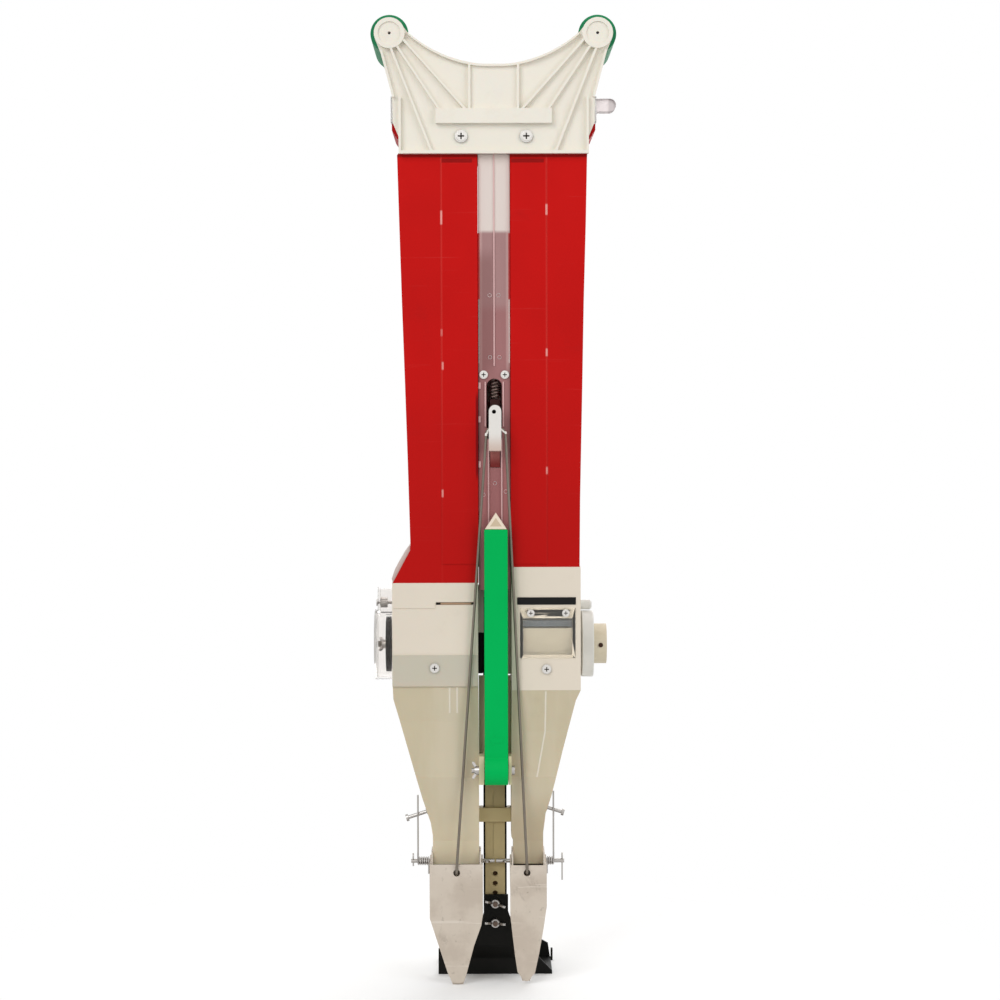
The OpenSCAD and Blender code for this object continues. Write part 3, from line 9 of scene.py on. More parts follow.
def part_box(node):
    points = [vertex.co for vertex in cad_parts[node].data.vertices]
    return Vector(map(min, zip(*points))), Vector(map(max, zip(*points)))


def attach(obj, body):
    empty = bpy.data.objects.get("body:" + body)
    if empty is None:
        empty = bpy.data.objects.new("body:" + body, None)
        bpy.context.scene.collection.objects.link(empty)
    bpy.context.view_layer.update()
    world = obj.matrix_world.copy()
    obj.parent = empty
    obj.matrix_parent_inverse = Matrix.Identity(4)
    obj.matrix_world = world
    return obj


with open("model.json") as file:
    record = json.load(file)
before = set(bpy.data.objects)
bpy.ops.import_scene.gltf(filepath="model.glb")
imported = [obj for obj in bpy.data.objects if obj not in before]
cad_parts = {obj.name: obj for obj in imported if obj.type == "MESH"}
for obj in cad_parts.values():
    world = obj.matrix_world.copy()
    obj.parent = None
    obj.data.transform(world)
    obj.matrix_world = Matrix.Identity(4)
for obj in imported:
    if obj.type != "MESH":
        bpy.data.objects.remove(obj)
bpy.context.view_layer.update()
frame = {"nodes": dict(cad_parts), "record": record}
nodes = frame["nodes"]
scene = bpy.context.scene
scene.view_settings.view_transform = "Standard"

MM = 0.001
SHIFT = 6.75  # the part's centring along Y, from the drawing to the frame
X, Y, Z = 0, 1, 2


# Materials
class Shader:
    """A node material built step by step on one Principled shader, in object coordinates."""

    def __init__(self, name, color, rough, **sockets):
        self.m = bpy.data.materials.new(name)
        self.m.use_nodes = True
        self.t = self.m.node_tree
        self.p = self.t.nodes["Principled BSDF"]
        self.co = self.t.nodes.new("ShaderNodeTexCoord").outputs["Object"]
        self.color = None
        self.rough = None
        self.height = None
        self.base_color = color
        self.base_rough = rough
        self.p.inputs["Base Color"].default_value = (*color, 1)
        self.p.inputs["Roughness"].default_value = rough
        for k, v in sockets.items():
            self.p.inputs[k.replace("_", " ")].default_value = v

    def new(self, kind, **inputs):
        n = self.t.nodes.new(kind)
        for k, v in inputs.items():
            n.inputs[k.replace("_", " ")].default_value = v
        return n

    def link(self, a, b):
        self.t.links.new(a, b)

    def scaled(self, scale):
        n = self.new("ShaderNodeMapping")
        n.inputs["Scale"].default_value = scale
        self.link(self.co, n.inputs["Vector"])
        return n.outputs["Vector"]

    def noise(self, scale, detail=4.0, rough=0.55, stretch=(1, 1, 1), distortion=0.0):
        n = self.new("ShaderNodeTexNoise", Scale=scale, Detail=detail, Roughness=rough, Distortion=distortion)
        self.link(self.scaled(stretch), n.inputs["Vector"])
        return n.outputs["Fac"]

    def ramp(self, fac, start, end):
        """0 before start and 1 after end, in a straight line."""
        n = self.t.nodes.new("ShaderNodeValToRGB")
        for stop, place, v in zip(n.color_ramp.elements, (start, end), (0.0, 1.0)):
            stop.position = place
            stop.color = (v, v, v, 1)
        self.link(fac, n.inputs["Fac"])
        return n.outputs["Color"]

    def step(self, value, start, end):
        """0 before start and 1 after end, smoothly; falls instead of rising where end is below start."""
        n = self.t.nodes.new("ShaderNodeMapRange")
        n.interpolation_type = "SMOOTHSTEP"
        n.inputs["From Min"].default_value = min(start, end)
        n.inputs["From Max"].default_value = max(start, end)
        n.inputs["To Min"].default_value = 0.0 if start < end else 1.0
        n.inputs["To Max"].default_value = 1.0 if start < end else 0.0
        self.link(value, n.inputs["Value"])
        return n.outputs["Result"]

    def band(self, value, low, high, soft):
        """1 between low and high."""
        return self.both(self.step(value, low - soft, low), self.step(value, high + soft, high))

    def mix(self, fac, a, b):
        n = self.t.nodes.new("ShaderNodeMix")
        n.data_type = "RGBA"
        for value, socket in ((fac, 0), (a, 6), (b, 7)):
            if isinstance(value, tuple):
                n.inputs[socket].default_value = (*value, 1)
            else:
                self.link(value, n.inputs[socket])
        return n.outputs[2]

    def math(self, op, a, b):
        n = self.t.nodes.new("ShaderNodeMath")
        n.operation = op
        for v, s in ((a, 0), (b, 1)):
            if isinstance(v, (int, float)):
                n.inputs[s].default_value = v
            else:
                self.link(v, n.inputs[s])
        return n.outputs[0]

    def both(self, *masks):
        """1 only where every mask is 1."""
        total = masks[0]
        for mask in masks[1:]:
            total = self.math("MULTIPLY", total, mask)
        return total

    def place(self, axis):
        """The surface's own coordinate along an axis, in metres."""
        n = self.t.nodes.new("ShaderNodeSeparateXYZ")
        self.link(self.co, n.inputs[0])
        return n.outputs[axis]

    def away(self, axis, centre):
        """Distance along an axis from a plane given in the frame's millimetres."""
        return self.math("ABSOLUTE", self.math("SUBTRACT", self.place(axis), centre * MM), 0.0)

    def along(self, axis, start, end):
        """A step between two places on an axis, in the frame's millimetres."""
        return self.step(self.place(axis), start * MM, end * MM)

    def within(self, axis, low, high, soft):
        """A band between two places on an axis, in the frame's millimetres."""
        return self.band(self.place(axis), low * MM, high * MM, soft * MM)

    def sideways(self, start, end):
        """A step in the distance from the part's middle plane, in millimetres."""
        return self.step(self.away(X, 0), start * MM, end * MM)

    def disc(self, x, z, radius):
        """1 within a radius of a line along Y, in the frame's millimetres."""
        squares = []
        for axis, centre in ((X, x), (Z, z)):
            away = self.away(axis, centre)
            squares.append(self.math("MULTIPLY", away, away))
        squared = self.math("ADD", *squares)
        return self.step(squared, (radius * MM) ** 2, ((radius - 0.3) * MM) ** 2)

    def tint(self, fac, color, amount=1.0):
        """Mixes a colour in where fac is high."""
        before = self.color if self.color is not None else self.base_color
        self.color = self.mix(self.math("MULTIPLY", fac, amount), before, color)

    def roughen(self, fac, amount):
        before = self.rough if self.rough is not None else self.base_rough
        self.rough = self.math("ADD", before, self.math("MULTIPLY", fac, amount))

    def raise_by(self, fac, amount):
        part = self.math("MULTIPLY", fac, amount)
        self.height = part if self.height is None else self.math("ADD", self.height, part)

    def done(self, strength=0.12, distance=0.0008):
        """The finished material, with its relief as a bump of this strength and distance."""
        if self.color is not None:
            self.link(self.color, self.p.inputs["Base Color"])
        if self.rough is not None:
            self.link(self.rough, self.p.inputs["Roughness"])
        if self.height is not None:
            b = self.new("ShaderNodeBump", Strength=strength, Distance=distance)
            self.link(self.height, b.inputs["Height"])
            self.link(b.outputs["Normal"], self.p.inputs["Normal"])
        return self.m


def shade(c, k):
    return tuple(min(1.0, v * k) for v in c)


def edges(node, axis):
    """A node's lowest and highest place on an axis, in the frame's millimetres."""
    return [corner[axis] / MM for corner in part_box(node)]


def plastic(
    name, color, rough=0.42, mottle=0.06, dirt=(0.30, 0.25, 0.18), dirt_amount=0.0, chips=0.0, grain=900.0,
    **sockets,
):
    """Moulded plastic: slow colour drift, a fine grain, and marks where it is handled."""
    s = Shader(name, color, rough, **{"Specular_IOR_Level": 0.16, **sockets})
    s.tint(s.ramp(s.noise(9.0, 3.0), 0.3, 0.7), shade(color, 1.0 - 2.2 * mottle), 0.8)
    if dirt_amount:
        s.tint(s.ramp(s.noise(26.0, 8.0, 0.72), 0.58, 0.74), dirt, dirt_amount)
    if chips:
        marks = s.ramp(s.noise(46.0, 9.0, 0.8, (1, 1, 0.35)), 0.715, 0.74)
        s.tint(marks, (0.86, 0.80, 0.78), chips)
        s.roughen(marks, 0.25)
    s.roughen(s.noise(60.0, 4.0), 0.12)
    s.raise_by(s.noise(grain, 2.0), 0.35)
    s.raise_by(s.noise(14.0, 2.0), 1.0)
    return s


def moulded(*args, **sockets):
    return plastic(*args, **sockets).done()


def metal(
    name, color, rough=0.3, brushed=(1, 1, 1), scale=120.0, wear=(0.3, 0.28, 0.26), wear_amount=0.25,
    metallic=1.0,
):
    """Steel with blotches of wear and a brushed or even grain."""
    s = Shader(name, color, rough, Metallic=metallic)
    s.tint(s.ramp(s.noise(55.0, 6.0, 0.7), 0.5, 0.72), wear, wear_amount)
    s.roughen(s.noise(scale, 5.0, 0.6, brushed), 0.25)
    s.raise_by(s.noise(scale * 2, 3.0, 0.6, brushed), 1.0)
    return s.done(0.15, 0.0003)


# The crease moulded in each hopper's front
CREASE_X = 50
# Its pale flecks: place along X, lowest and highest Z, strength
CREASE_FLECKS = [
    (-50, 729, 740, 0.8), (-50, 623.2, 627.7, 0.35), (-49, 591.3, 596.4, 0.6), (-49.5, 470, 475, 0.6),
    (50, 738, 746, 0.9), (50, 604, 609, 0.8), (50, 491.7, 496.4, 0.6),
]
# Painted shade along moulded steps under the handle plate: start and end along X
TOP_STEP_SHADES = [(-49, -21), (17, 47)]
# The seed hopper's foot leans by this much X for each Z
FOOT_LEAN = 0.5363


def hopper_red():
    """Red plastic, with pale flecks along the moulded crease of each front and fine scratches; painted shade
    under the handle plate and the lids, along moulded steps and beside the clear strip.
    """
    s = plastic(
        "hopper_red", (0.57, 0.006, 0.005), 0.45, 0.07, (0.30, 0.01, 0.01), 0.2, 0.15, 700.0,
        Specular_IOR_Level=0.07,
    )
    crease = s.band(s.away(X, 0), (CREASE_X - 0.6) * MM, (CREASE_X + 0.6) * MM, 0.5 * MM)
    s.tint(crease, (0.66, 0.05, 0.04), 0.45)
    scratch = s.ramp(s.noise(9.0, 6.0, 0.6, (1, 1, 60)), 0.66, 0.69)
    s.tint(scratch, (0.62, 0.05, 0.045), 0.35)
    lower_part = s.along(Z, 620, 420)
    s.tint(lower_part, (0.44, 0.006, 0.005), 0.8)
    for x, low, high, amount in CREASE_FLECKS:
        fleck = s.both(s.within(X, x - 0.6, x + 0.6, 0.6), s.within(Z, low, high, 2))
        s.tint(fleck, (0.85, 0.42, 0.38), amount)
    for start, end in TOP_STEP_SHADES:
        # Painted shade of a moulded step
        line = s.both(s.within(X, start, end, 1), s.within(Z, 786.8, 789.8, 0.8))
        s.tint(line, (0.24, 0.006, 0.006), 0.75)
    # Painted shadow under the handle plate's front edge
    plate_shadow = s.both(s.within(Z, 792, 797.5, 1), s.along(Y, -54, -54.5))
    s.tint(plate_shadow, (0.22, 0.004, 0.004), 0.8)
    # Painted shade on the flared mouth under the lids
    flare_shade = s.along(Z, 800, 808)
    s.tint(flare_shade, (0.26, 0.004, 0.004), 0.6)
    # Painted shadow along the clear strip's left edge
    strip_shadow = s.both(s.within(X, -17.4, -15, 0.6), s.within(Z, 494, 560, 12))
    s.tint(strip_shadow, (0.14, 0.002, 0.004), 0.8)
    leaning = s.math("SUBTRACT", s.place(X), s.math("MULTIPLY", s.place(Z), FOOT_LEAN))
    outside_foot = s.step(leaning, -304.85 * MM, -305.05 * MM)
    bulge = s.both(outside_foot, s.along(X, -80.6, -80.8), s.along(Z, 425, 424.5))
    s.tint(bulge, (0.60, 0.50, 0.46))
    return s.done()


def guide_strip():
    """Clear strip over the dark gap, painted with the gap's shade seen through it: white over the spine,
    mauve below, pale on its ribs and edges.
    """
    # The mauve base is the painted shade of the gap behind
    s = plastic("strip_clear", (0.30, 0.125, 0.122), 0.3, 0.05, Transmission_Weight=0.08)
    front = edges("guide_strip", Y)[0]
    drift = s.step(s.noise(22.0, 3.0, 0.5, (1, 1, 0.25)), 0.35, 0.65)
    s.tint(drift, (0.42, 0.20, 0.20), 0.7)
    upper_part = s.within(Z, 655, 719, 12)
    s.tint(upper_part, (0.42, 0.26, 0.255), 0.7)
    edge = s.both(s.sideways(10.5, 12.5), s.along(Z, 580, 600))
    s.tint(edge, (0.60, 0.40, 0.38), 0.75)
    low_rim = s.both(s.sideways(13.6, 13.9), s.within(Z, 597, 656, 1))
    s.tint(low_rim, (0.80, 0.72, 0.68), 0.85)
    left_shadow = s.both(s.along(X, 2, -4), s.within(Z, 600, 690, 20))
    s.tint(left_shadow, (0.24, 0.11, 0.105), 0.6)
    foot = s.along(Z, 520, 500)
    s.tint(foot, (0.46, 0.18, 0.18), 0.5)
    high_rim = s.both(s.sideways(13.5, 13.8), s.within(Z, 657.5, 719.5, 0.5))
    s.tint(high_rim, (0.55, 0.03, 0.03), 0.9)
    over_spine = s.along(Z, 719, 723.5)
    s.tint(over_spine, (0.78, 0.69, 0.64))
    ribs = s.along(Y, front + 1.2, front + 0.8)
    s.tint(ribs, (0.74, 0.47, 0.46), 0.9)
    return s.done()


def slider_white():
    """White plastic, with painted shade and a painted reflection of the red hopper darkening its thin foot,
    and painted shade in its hole.
    """
    s = plastic("slider_white", (0.80, 0.77, 0.73), 0.4, 0.03, (0.45, 0.38, 0.30), 0.12)
    foot, top = edges("slider_head", Z)
    # Painted shade and a painted reflection of the red hopper, deepening towards the foot
    s.tint(s.along(Z, foot + 34, foot + 16), (0.58, 0.44, 0.37), 0.85)
    s.tint(s.along(Z, foot + 17, foot + 14), (0.36, 0.09, 0.08), 0.9)
    s.tint(s.along(Z, foot + 14, foot + 2), (0.16, 0.010, 0.009), 0.9)
    spring_seat = s.both(s.along(Y, -56, -53), s.along(Z, top - 12.6, top - 12.3))
    s.tint(spring_seat, (0.03, 0.006, 0.005))
    # Painted shade in the hole through the head
    hole_shade = s.disc(-0.4, 550.2, 2.1)
    s.tint(hole_shade, (0.012, 0.006, 0.005))
    return s.done()


def seed_gate():
    """Tan plate in the slit, with painted shade for the hollow past its end."""
    s = plastic("seed_gate", (0.42, 0.27, 0.17), 0.5, 0.06)
    end = edges("seed_gate", X)[0]
    # Painted shade for the hollow past the plate's end
    s.tint(s.along(X, end + 4.4, end + 4.2), (0.012, 0.008, 0.005))
    return s.done()


def funnel_beige():
    """Translucent beige with upright streaks, greyer at the rim; the right funnel's foot is the darker."""
    s = plastic(
        "funnel_beige", (0.63, 0.545, 0.385), 0.4, 0.04, (0.48, 0.39, 0.26), 0.3,
        Transmission_Weight=0.06, Subsurface_Weight=0.1, Subsurface_Scale=0.008,
    )
    streak = s.step(s.noise(30.0, 4.0, 0.55, (1, 1, 0.12)), 0.45, 0.7)
    s.tint(streak, (0.68, 0.60, 0.46), 0.6)
    rim = s.along(Z, 286, 290)
    s.tint(rim, (0.60, 0.55, 0.46), 0.8)
    left_foot = s.both(s.along(Z, 165, 140), s.along(X, 0, -2))
    s.tint(left_foot, (0.68, 0.58, 0.41), 0.7)
    right_foot = s.both(s.along(Z, 195, 150), s.along(X, 0, 2))
    s.tint(right_foot, (0.47, 0.385, 0.255), 0.8)
    return s.done()


def beak_steel():
    """Bare sheet steel, warm grey and dull, with smudges, scratches and darker stains."""
    s = Shader("beak_steel", (0.56, 0.49, 0.41), 0.5, Metallic=0.25)
    cloud = s.step(s.noise(22.0, 5.0, 0.6), 0.42, 0.62)
    s.tint(cloud, (0.47, 0.40, 0.33), 0.8)
    smear = s.step(s.noise(42.0, 8.0, 0.75, (1, 1, 0.55), 0.6), 0.56, 0.66)
    s.tint(smear, (0.24, 0.19, 0.15), 0.35)
    spots = s.step(s.noise(110.0, 5.0, 0.7), 0.62, 0.70)
    s.tint(spots, (0.20, 0.16, 0.12), 0.45)
    scratch = s.step(s.noise(12.0, 6.0, 0.6, (1, 1, 22)), 0.62, 0.66)
    s.tint(scratch, (0.70, 0.64, 0.57), 0.5)
    flap_top = edges("seed_flap", Z)[1]
    s.tint(s.along(Z, flap_top - 26, flap_top - 6), (0.64, 0.57, 0.49), 0.5)
    s.roughen(cloud, 0.12)
    s.raise_by(s.noise(400.0, 4.0, 0.6, (1, 1, 0.15)), 0.4)
    s.raise_by(s.noise(20.0, 2.0), 1.5)
    return s.done(0.18, 0.0006)


def screw_steel(name, recesses):
    """Bright plated screws, with painted shade in their cross recesses and round their heads' sides: lowest
    and highest X and depth from the middle.
    """
    s = Shader(name, (0.66, 0.64, 0.61), 0.22, Metallic=1.0)
    from_middle = s.away(Y, SHIFT)
    for low, high, depth in recesses:
        # Painted shade in the recess and on the head's side, behind its face
        recess_shade = s.both(s.within(X, low, high, 0.5), s.step(from_middle, depth * MM, (depth - 0.15) * MM))
        s.tint(recess_shade, (0.035, 0.03, 0.026))
    s.roughen(s.noise(200.0, 4.0), 0.25)
    s.raise_by(s.noise(300.0, 3.0), 1.0)
    return s.done(0.15, 0.0003)


def rack_black():
    """Black strip, rubbed brown where it shows through the bar's holes."""
    s = plastic("rack_black", (0.007, 0.006, 0.005), 0.5, 0.1, (0.04, 0.035, 0.03), 0.4)
    worn = s.both(s.along(Y, -7.1, -7.2), s.sideways(2.2, 1.5), s.along(Z, 106, 105))
    s.tint(worn, (0.16, 0.09, 0.045), 0.9)
    return s.done()


def cover_clear():
    """Clear plastic, with painted shade along its outer wall."""
    s = plastic("cover_clear", (0.96, 0.94, 0.92), 0.06, 0.02, Transmission_Weight=0.98, IOR=1.2)
    outer = edges("seed_cover", X)[0]
    # Painted shade along the outer wall
    s.tint(s.along(X, outer + 2.2, outer + 1.6), (0.50, 0.48, 0.45), 0.7)
    return s.done()


def lid_plastic(name):
    """The lids' translucent white."""
    return plastic(
        name, (0.93, 0.92, 0.90), 0.4, 0.01, (0.7, 0.68, 0.62), 0.1, Transmission_Weight=0.6, IOR=1.25
    )


def tabbed_lid():
    """The right lid, greyer along its solid thumb tab."""
    s = lid_plastic("tabbed_lid")
    tab, tab_end = s.along(X, 97.6, 98), s.along(X, 108.5, 111)
    s.tint(tab, (0.66, 0.60, 0.60), 0.9)
    s.tint(tab_end, (0.42, 0.38, 0.38), 0.8)
    return s.done()


def ivory(name, **sockets):
    """The housings' ivory plastic."""
    return plastic(name, (0.77, 0.69, 0.58), 0.42, 0.03, (0.55, 0.46, 0.36), 0.14, **sockets)


def fertiliser_ivory():
    """Ivory outside, with painted shade inside where the window shows the chute."""
    s = ivory("fertiliser_ivory")
    front = edges("fertiliser_housing", Y)[0]
    # Painted shade, greyer and darker than the outside, on the inner faces
    s.tint(s.along(Y, front + 3.2, front + 3.6), (0.62, 0.56, 0.45))
    return s.done()


# One look for each material slot of the part
LOOKS = {
    "handle_ivory": moulded(
        "handle_ivory", (0.83, 0.79, 0.70), 0.42, 0.02, (0.55, 0.45, 0.33), 0.12,
        Subsurface_Weight=0.05, Subsurface_Scale=0.004,
    ),
    "grip_green": moulded("grip_green", (0.012, 0.215, 0.085), 0.5, 0.10, (0.20, 0.30, 0.2), 0.15),
    "hopper_red": hopper_red(),
    "lid_white": lid_plastic("lid_white").done(),
    "strip_clear": guide_strip(),
    "white_plastic": moulded("white_plastic", (0.85, 0.83, 0.78), 0.4, 0.02, (0.45, 0.38, 0.30), 0.12),
    "cream_plastic": moulded("cream_plastic", (0.62, 0.54, 0.35), 0.45, 0.05, (0.35, 0.28, 0.16), 0.3),
    "housing_ivory": ivory("housing_ivory", Subsurface_Weight=0.06, Subsurface_Scale=0.005).done(),
    "funnel_beige": funnel_beige(),
    "black_plastic": moulded("black_plastic", (0.007, 0.006, 0.005), 0.5, 0.1, (0.04, 0.035, 0.03), 0.4),
    "ruler_green": moulded(
        "ruler_green", (0.0, 0.46, 0.095), 0.42, 0.05, (0.0, 0.35, 0.07), 0.2, Specular_IOR_Level=0.05
    ),
    "brown_plastic": moulded("brown_plastic", (0.05, 0.022, 0.012), 0.5, 0.1),
    "grey_plastic": moulded("grey_plastic", (0.20, 0.25, 0.32), 0.4, 0.05),
    "brush_black": moulded("brush_black", (0.010, 0.010, 0.010), 0.7, 0.1, grain=2500.0),
    "beak_steel": beak_steel(),
    "plated_steel": metal("plated_steel", (0.43, 0.41, 0.39), 0.2),
    "wire_steel": metal(
        "wire_steel", (0.19, 0.165, 0.135), 0.38, (1, 1, 0.05), 300.0, (0.10, 0.08, 0.06), 0.4, 0.7
    ),
    "foot_black": moulded(
        "foot_black", (0.003, 0.003, 0.002), 0.5, 0.1, (0.03, 0.027, 0.024), 0.3, 0.06, 1200.0
    ),
}

# Nodes that look different from the rest of their slot
bar_cream = moulded("bar_cream", (0.60, 0.50, 0.27), 0.45, 0.05, (0.35, 0.28, 0.16), 0.3)
flange_white = moulded("flange_white", (0.98, 0.97, 0.92), 0.4, 0.02, Transmission_Weight=0.2)
OWN_LOOK = {
    "slider_head": slider_white(),
    "seed_gate": seed_gate(),
    "hinge_springs": LOOKS["plated_steel"],
    "handle_screws": screw_steel("handle_screw_steel", [(-45, 45, 67.9)]),
    "guide_screws": screw_steel("guide_screw_steel", [(-20, 20, 61.7)]),
    "housing_screws": screw_steel(
        "housing_screw_steel", [(-70, -50, 65.45), (44, 55, 64.45), (29, 39, 65.9), (62, 73, 65.9)]
    ),
    "rack": rack_black(),
    "seed_cover": cover_clear(),
    "fertiliser_housing": fertiliser_ivory(),
    "plunger_bar": bar_cream,
    "bar_strap": bar_cream,
    "shaft_flange": flange_white,
    "flange_peg": flange_white,
    "sliding_rule": moulded("rule_cream", (0.84, 0.72, 0.58), 0.45, 0.03),
    "shaft_hub": moulded("hub_cream", (0.74, 0.66, 0.50), 0.45, 0.05, (0.45, 0.36, 0.22), 0.3),
    "fertiliser_lid": tabbed_lid(),
    "inspection_window": moulded(
        "window_clear", (0.93, 0.91, 0.86), 0.15, 0.02, Transmission_Weight=0.92, IOR=1.03
    ),
    "return_spring": metal("bright_spring", (0.30, 0.22, 0.19), 0.35, metallic=0.8),
    "foot_bolts": metal("browned_steel", (0.13, 0.09, 0.07), 0.35, metallic=0.8),
}
slots = {s["node"]: s["material_slot"] for s in frame["record"]["subparts"]}
for name, o in nodes.items():
    look = OWN_LOOK[name] if name in OWN_LOOK else LOOKS[slots[name]]
    if not o.material_slots:
        o.data.materials.append(look)
    for slot in o.material_slots:
        slot.material = look


# Rounded edges on CAD nodes
def rounded(name, width):
    """Joins the node's flat faces and bevels its sharp edges by a width in millimetres."""
    o = nodes[name]
    w = o.modifiers.new("weld", "WELD")
    w.merge_threshold = 0.00002
    d = o.modifiers.new("flat", "DECIMATE")
    d.decimate_type = "DISSOLVE"
    d.angle_limit = math.radians(0.6)
    b = o.modifiers.new("round", "BEVEL")
    b.width = width * MM
    b.segments = 2
    b.limit_method = "ANGLE"
    b.angle_limit = math.radians(35)
    b.harden_normals = True
    b.use_clamp_overlap = True


for o in nodes.values():
    for p in o.data.polygons:
        p.use_smooth = False

ROUND = {
    "handle_front_plate": 0.7, "handle_rear_plate": 0.7, "seed_hopper": 1.2, "fertiliser_hopper": 1.2,
    "seed_lid": 0.9, "fertiliser_lid": 0.9, "guide_strip": 0.25, "spine": 0.5, "rear_strip": 0.5,
    "slider_head": 0.8, "plunger_bar": 0.4, "rack": 0.2, "foot": 0.5, "seed_housing": 0.9,
    "fertiliser_housing": 0.9, "seed_gate": 0.3, "seed_cover": 0.5, "rack_guide": 0.4, "shaft_flange": 1.0,
    "shaft_hub": 1.0, "flange_peg": 0.6, "scraper_bar": 0.5, "inspection_window": 0.3, "brush_strip": 0.8,
    "seed_funnel": 0.8, "fertiliser_funnel": 0.8, "bar_strap": 0.5, "ruler_bracket": 0.6, "ruler_sleeve": 1.0,
    "sliding_rule": 0.5, "seed_flap": 0.3, "fertiliser_flap": 0.3, "seed_jaw": 0.2, "fertiliser_jaw": 0.2,
    "foot_wing_nuts": 0.4, "ruler_wing_nut": 0.35, "disc_wing_nut": 0.4, "handle_screws": 0.25,
    "housing_screws": 0.2, "guide_screws": 0.2, "grip_left": 0.8, "grip_right": 0.8, "hub_set_screw": 0.3,
    "fertiliser_roller": 0.4, "seed_disc": 0.3,
}
for name, width in ROUND.items():
    rounded(name, width)


# Small pieces that only the picture needs
def at(x, y, z):
    """A point given in the drawing's millimetres."""
    return Vector((x * MM, (y + SHIFT) * MM, z * MM))


def added(name, data, look, body, edge=0.0):
    """Puts a piece on a body, with its edges bevelled by a width in millimetres."""
    o = bpy.data.objects.new(name, data)
    scene.collection.objects.link(o)
    data.materials.append(look)
    if edge:
        b = o.modifiers.new("round", "BEVEL")
        b.width = edge * MM
        b.segments = 2
    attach(o, body)


def plate(name, outline, front, back, look, body, slot, edge=0.0):
    """An outline in the XZ plane between two depths along Y."""
    bm = bmesh.new()
    face = bm.faces.new([bm.verts.new(at(x, back, z)) for x, z in outline])
    moved = bmesh.ops.extrude_face_region(bm, geom=[face])["geom"]
    ends = [v for v in moved if isinstance(v, bmesh.types.BMVert)]
    bmesh.ops.translate(bm, verts=ends, vec=(0, (front - back) * MM, 0))
    bmesh.ops.recalc_face_normals(bm, faces=bm.faces)
    me = bpy.data.meshes.new(name)
    bm.to_mesh(me)
    bm.free()
    added(name, me, look, body, edge)


def bead(name, start, end, width, proud, look, body):
    """A straight raised line from start to end on a front face."""
    sunk = 0.4
    corners = []
    for x, y, z in (start, end):
        for dy in (sunk, -proud):
            corners += [at(x - width / 2, y + dy, z), at(x + width / 2, y + dy, z)]
    me = bpy.data.meshes.new(name)
    quads = [(0, 1, 3, 2), (4, 6, 7, 5), (0, 2, 6, 4), (1, 5, 7, 3), (2, 3, 7, 6), (0, 4, 5, 1)]
    me.from_pydata([tuple(c) for c in corners], [], quads)
    me.validate()
    added(name, me, look, body, 0.2)


def tube(name, points, radius, look, body, closed=False):
    """A round wire through a list of points."""
    curve = bpy.data.curves.new(name, "CURVE")
    curve.dimensions = "3D"
    curve.bevel_depth = radius * MM
    curve.bevel_resolution = 3
    curve.use_fill_caps = not closed
    line = curve.splines.new("POLY")
    line.points.add(len(points) - 1)
    for p, xyz in zip(line.points, points):
        p.co = (*at(*xyz), 1)
    line.use_cyclic_u = closed
    added(name, curve, look, body)


# White sleeves where the pull wires leave the slider: side, the bend and the way down, as X and Z
WIRE_Y = -75
SLIDER_X = 0.6
SLIDER_HALF = 5.7
SLEEVE_TOP = 534
SLEEVES = [("sleeve_left", -1, (-7.8, 529), (-9.3, 508)), ("sleeve_right", 1, (10.5, 530.5), (11.2, 515))]
for name, side, bend, down in SLEEVES:
    start = (SLIDER_X + side * SLIDER_HALF, WIRE_Y, SLEEVE_TOP)
    middle = ((start[0] + bend[0]) / 2, WIRE_Y, SLEEVE_TOP - 1.8)
    knee = (bend[0], WIRE_Y, bend[1])
    way_down = (down[0], WIRE_Y + 0.6, down[1])
    end = tuple(k + (d - k) * 0.08 for k, d in zip(knee, way_down))
    tube(name, [start, middle, knee, end], 1.35, LOOKS["white_plastic"], "plunger")

# Moulding rings on the clear strip, as X and Z of their centres
STRIP_FRONT = -60.5
RING_RADIUS = 1.7
RINGS = [(-4.2, 661), (4.2, 661), (-4, 602), (5, 602), (-10.5, 471), (10.8, 474), (0.4, 482)]
TURNS = [math.tau * i / 16 for i in range(16)]
for k, (x, z) in enumerate(RINGS):
    ring = [(x + RING_RADIUS * math.cos(a), STRIP_FRONT, z + RING_RADIUS * math.sin(a)) for a in TURNS]
    tube(f"strip_mark_{k}", ring, 0.22, LOOKS["lid_white"], "frame", closed=True)

# Painted shade for the hollow in the rule's tip, and the arrow on the sleeve
TIP = [(-4.4, 441.6), (6.6, 441.6), (1.1, 449.6)]
TIP_FRONT = edges("sliding_rule", Y)[0] - SHIFT
# Painted shade: a darker sheet standing for the inside of the hollow
tip_brown = moulded("tip_brown", (0.64, 0.51, 0.36), 0.5, 0.05, (0.45, 0.36, 0.22), 0.3)
plate("tip_hollow_shade", TIP, TIP_FRONT - 0.1, TIP_FRONT + 0.3, tip_brown, "rule", "cream_plastic")
ARROW = [(-6, 238), (-0.6, 243), (-0.6, 240.6), (7.8, 240.6), (7.8, 235.4), (-0.6, 235.4), (-0.6, 233)]
SLEEVE_FRONT = -79
ARROW_DEPTHS = (SLEEVE_FRONT - 0.3, SLEEVE_FRONT + 0.3)
plate("arrow", ARROW, *ARROW_DEPTHS, LOOKS["ruler_green"], "ruler", "ruler_green", 0.15)

# Light ribs that show through the funnels' fronts
FUNNEL_TOP_Y, FUNNEL_LOW_Y = -63, -58
FUNNEL_SLOPE = 40  # height of the slope between the two


def funnel_front(top, z):
    """Depth of a funnel's front, which slopes back below its top."""
    return FUNNEL_TOP_Y + (FUNNEL_LOW_Y - FUNNEL_TOP_Y) * min(1, max(0, (top - z) / FUNNEL_SLOPE))


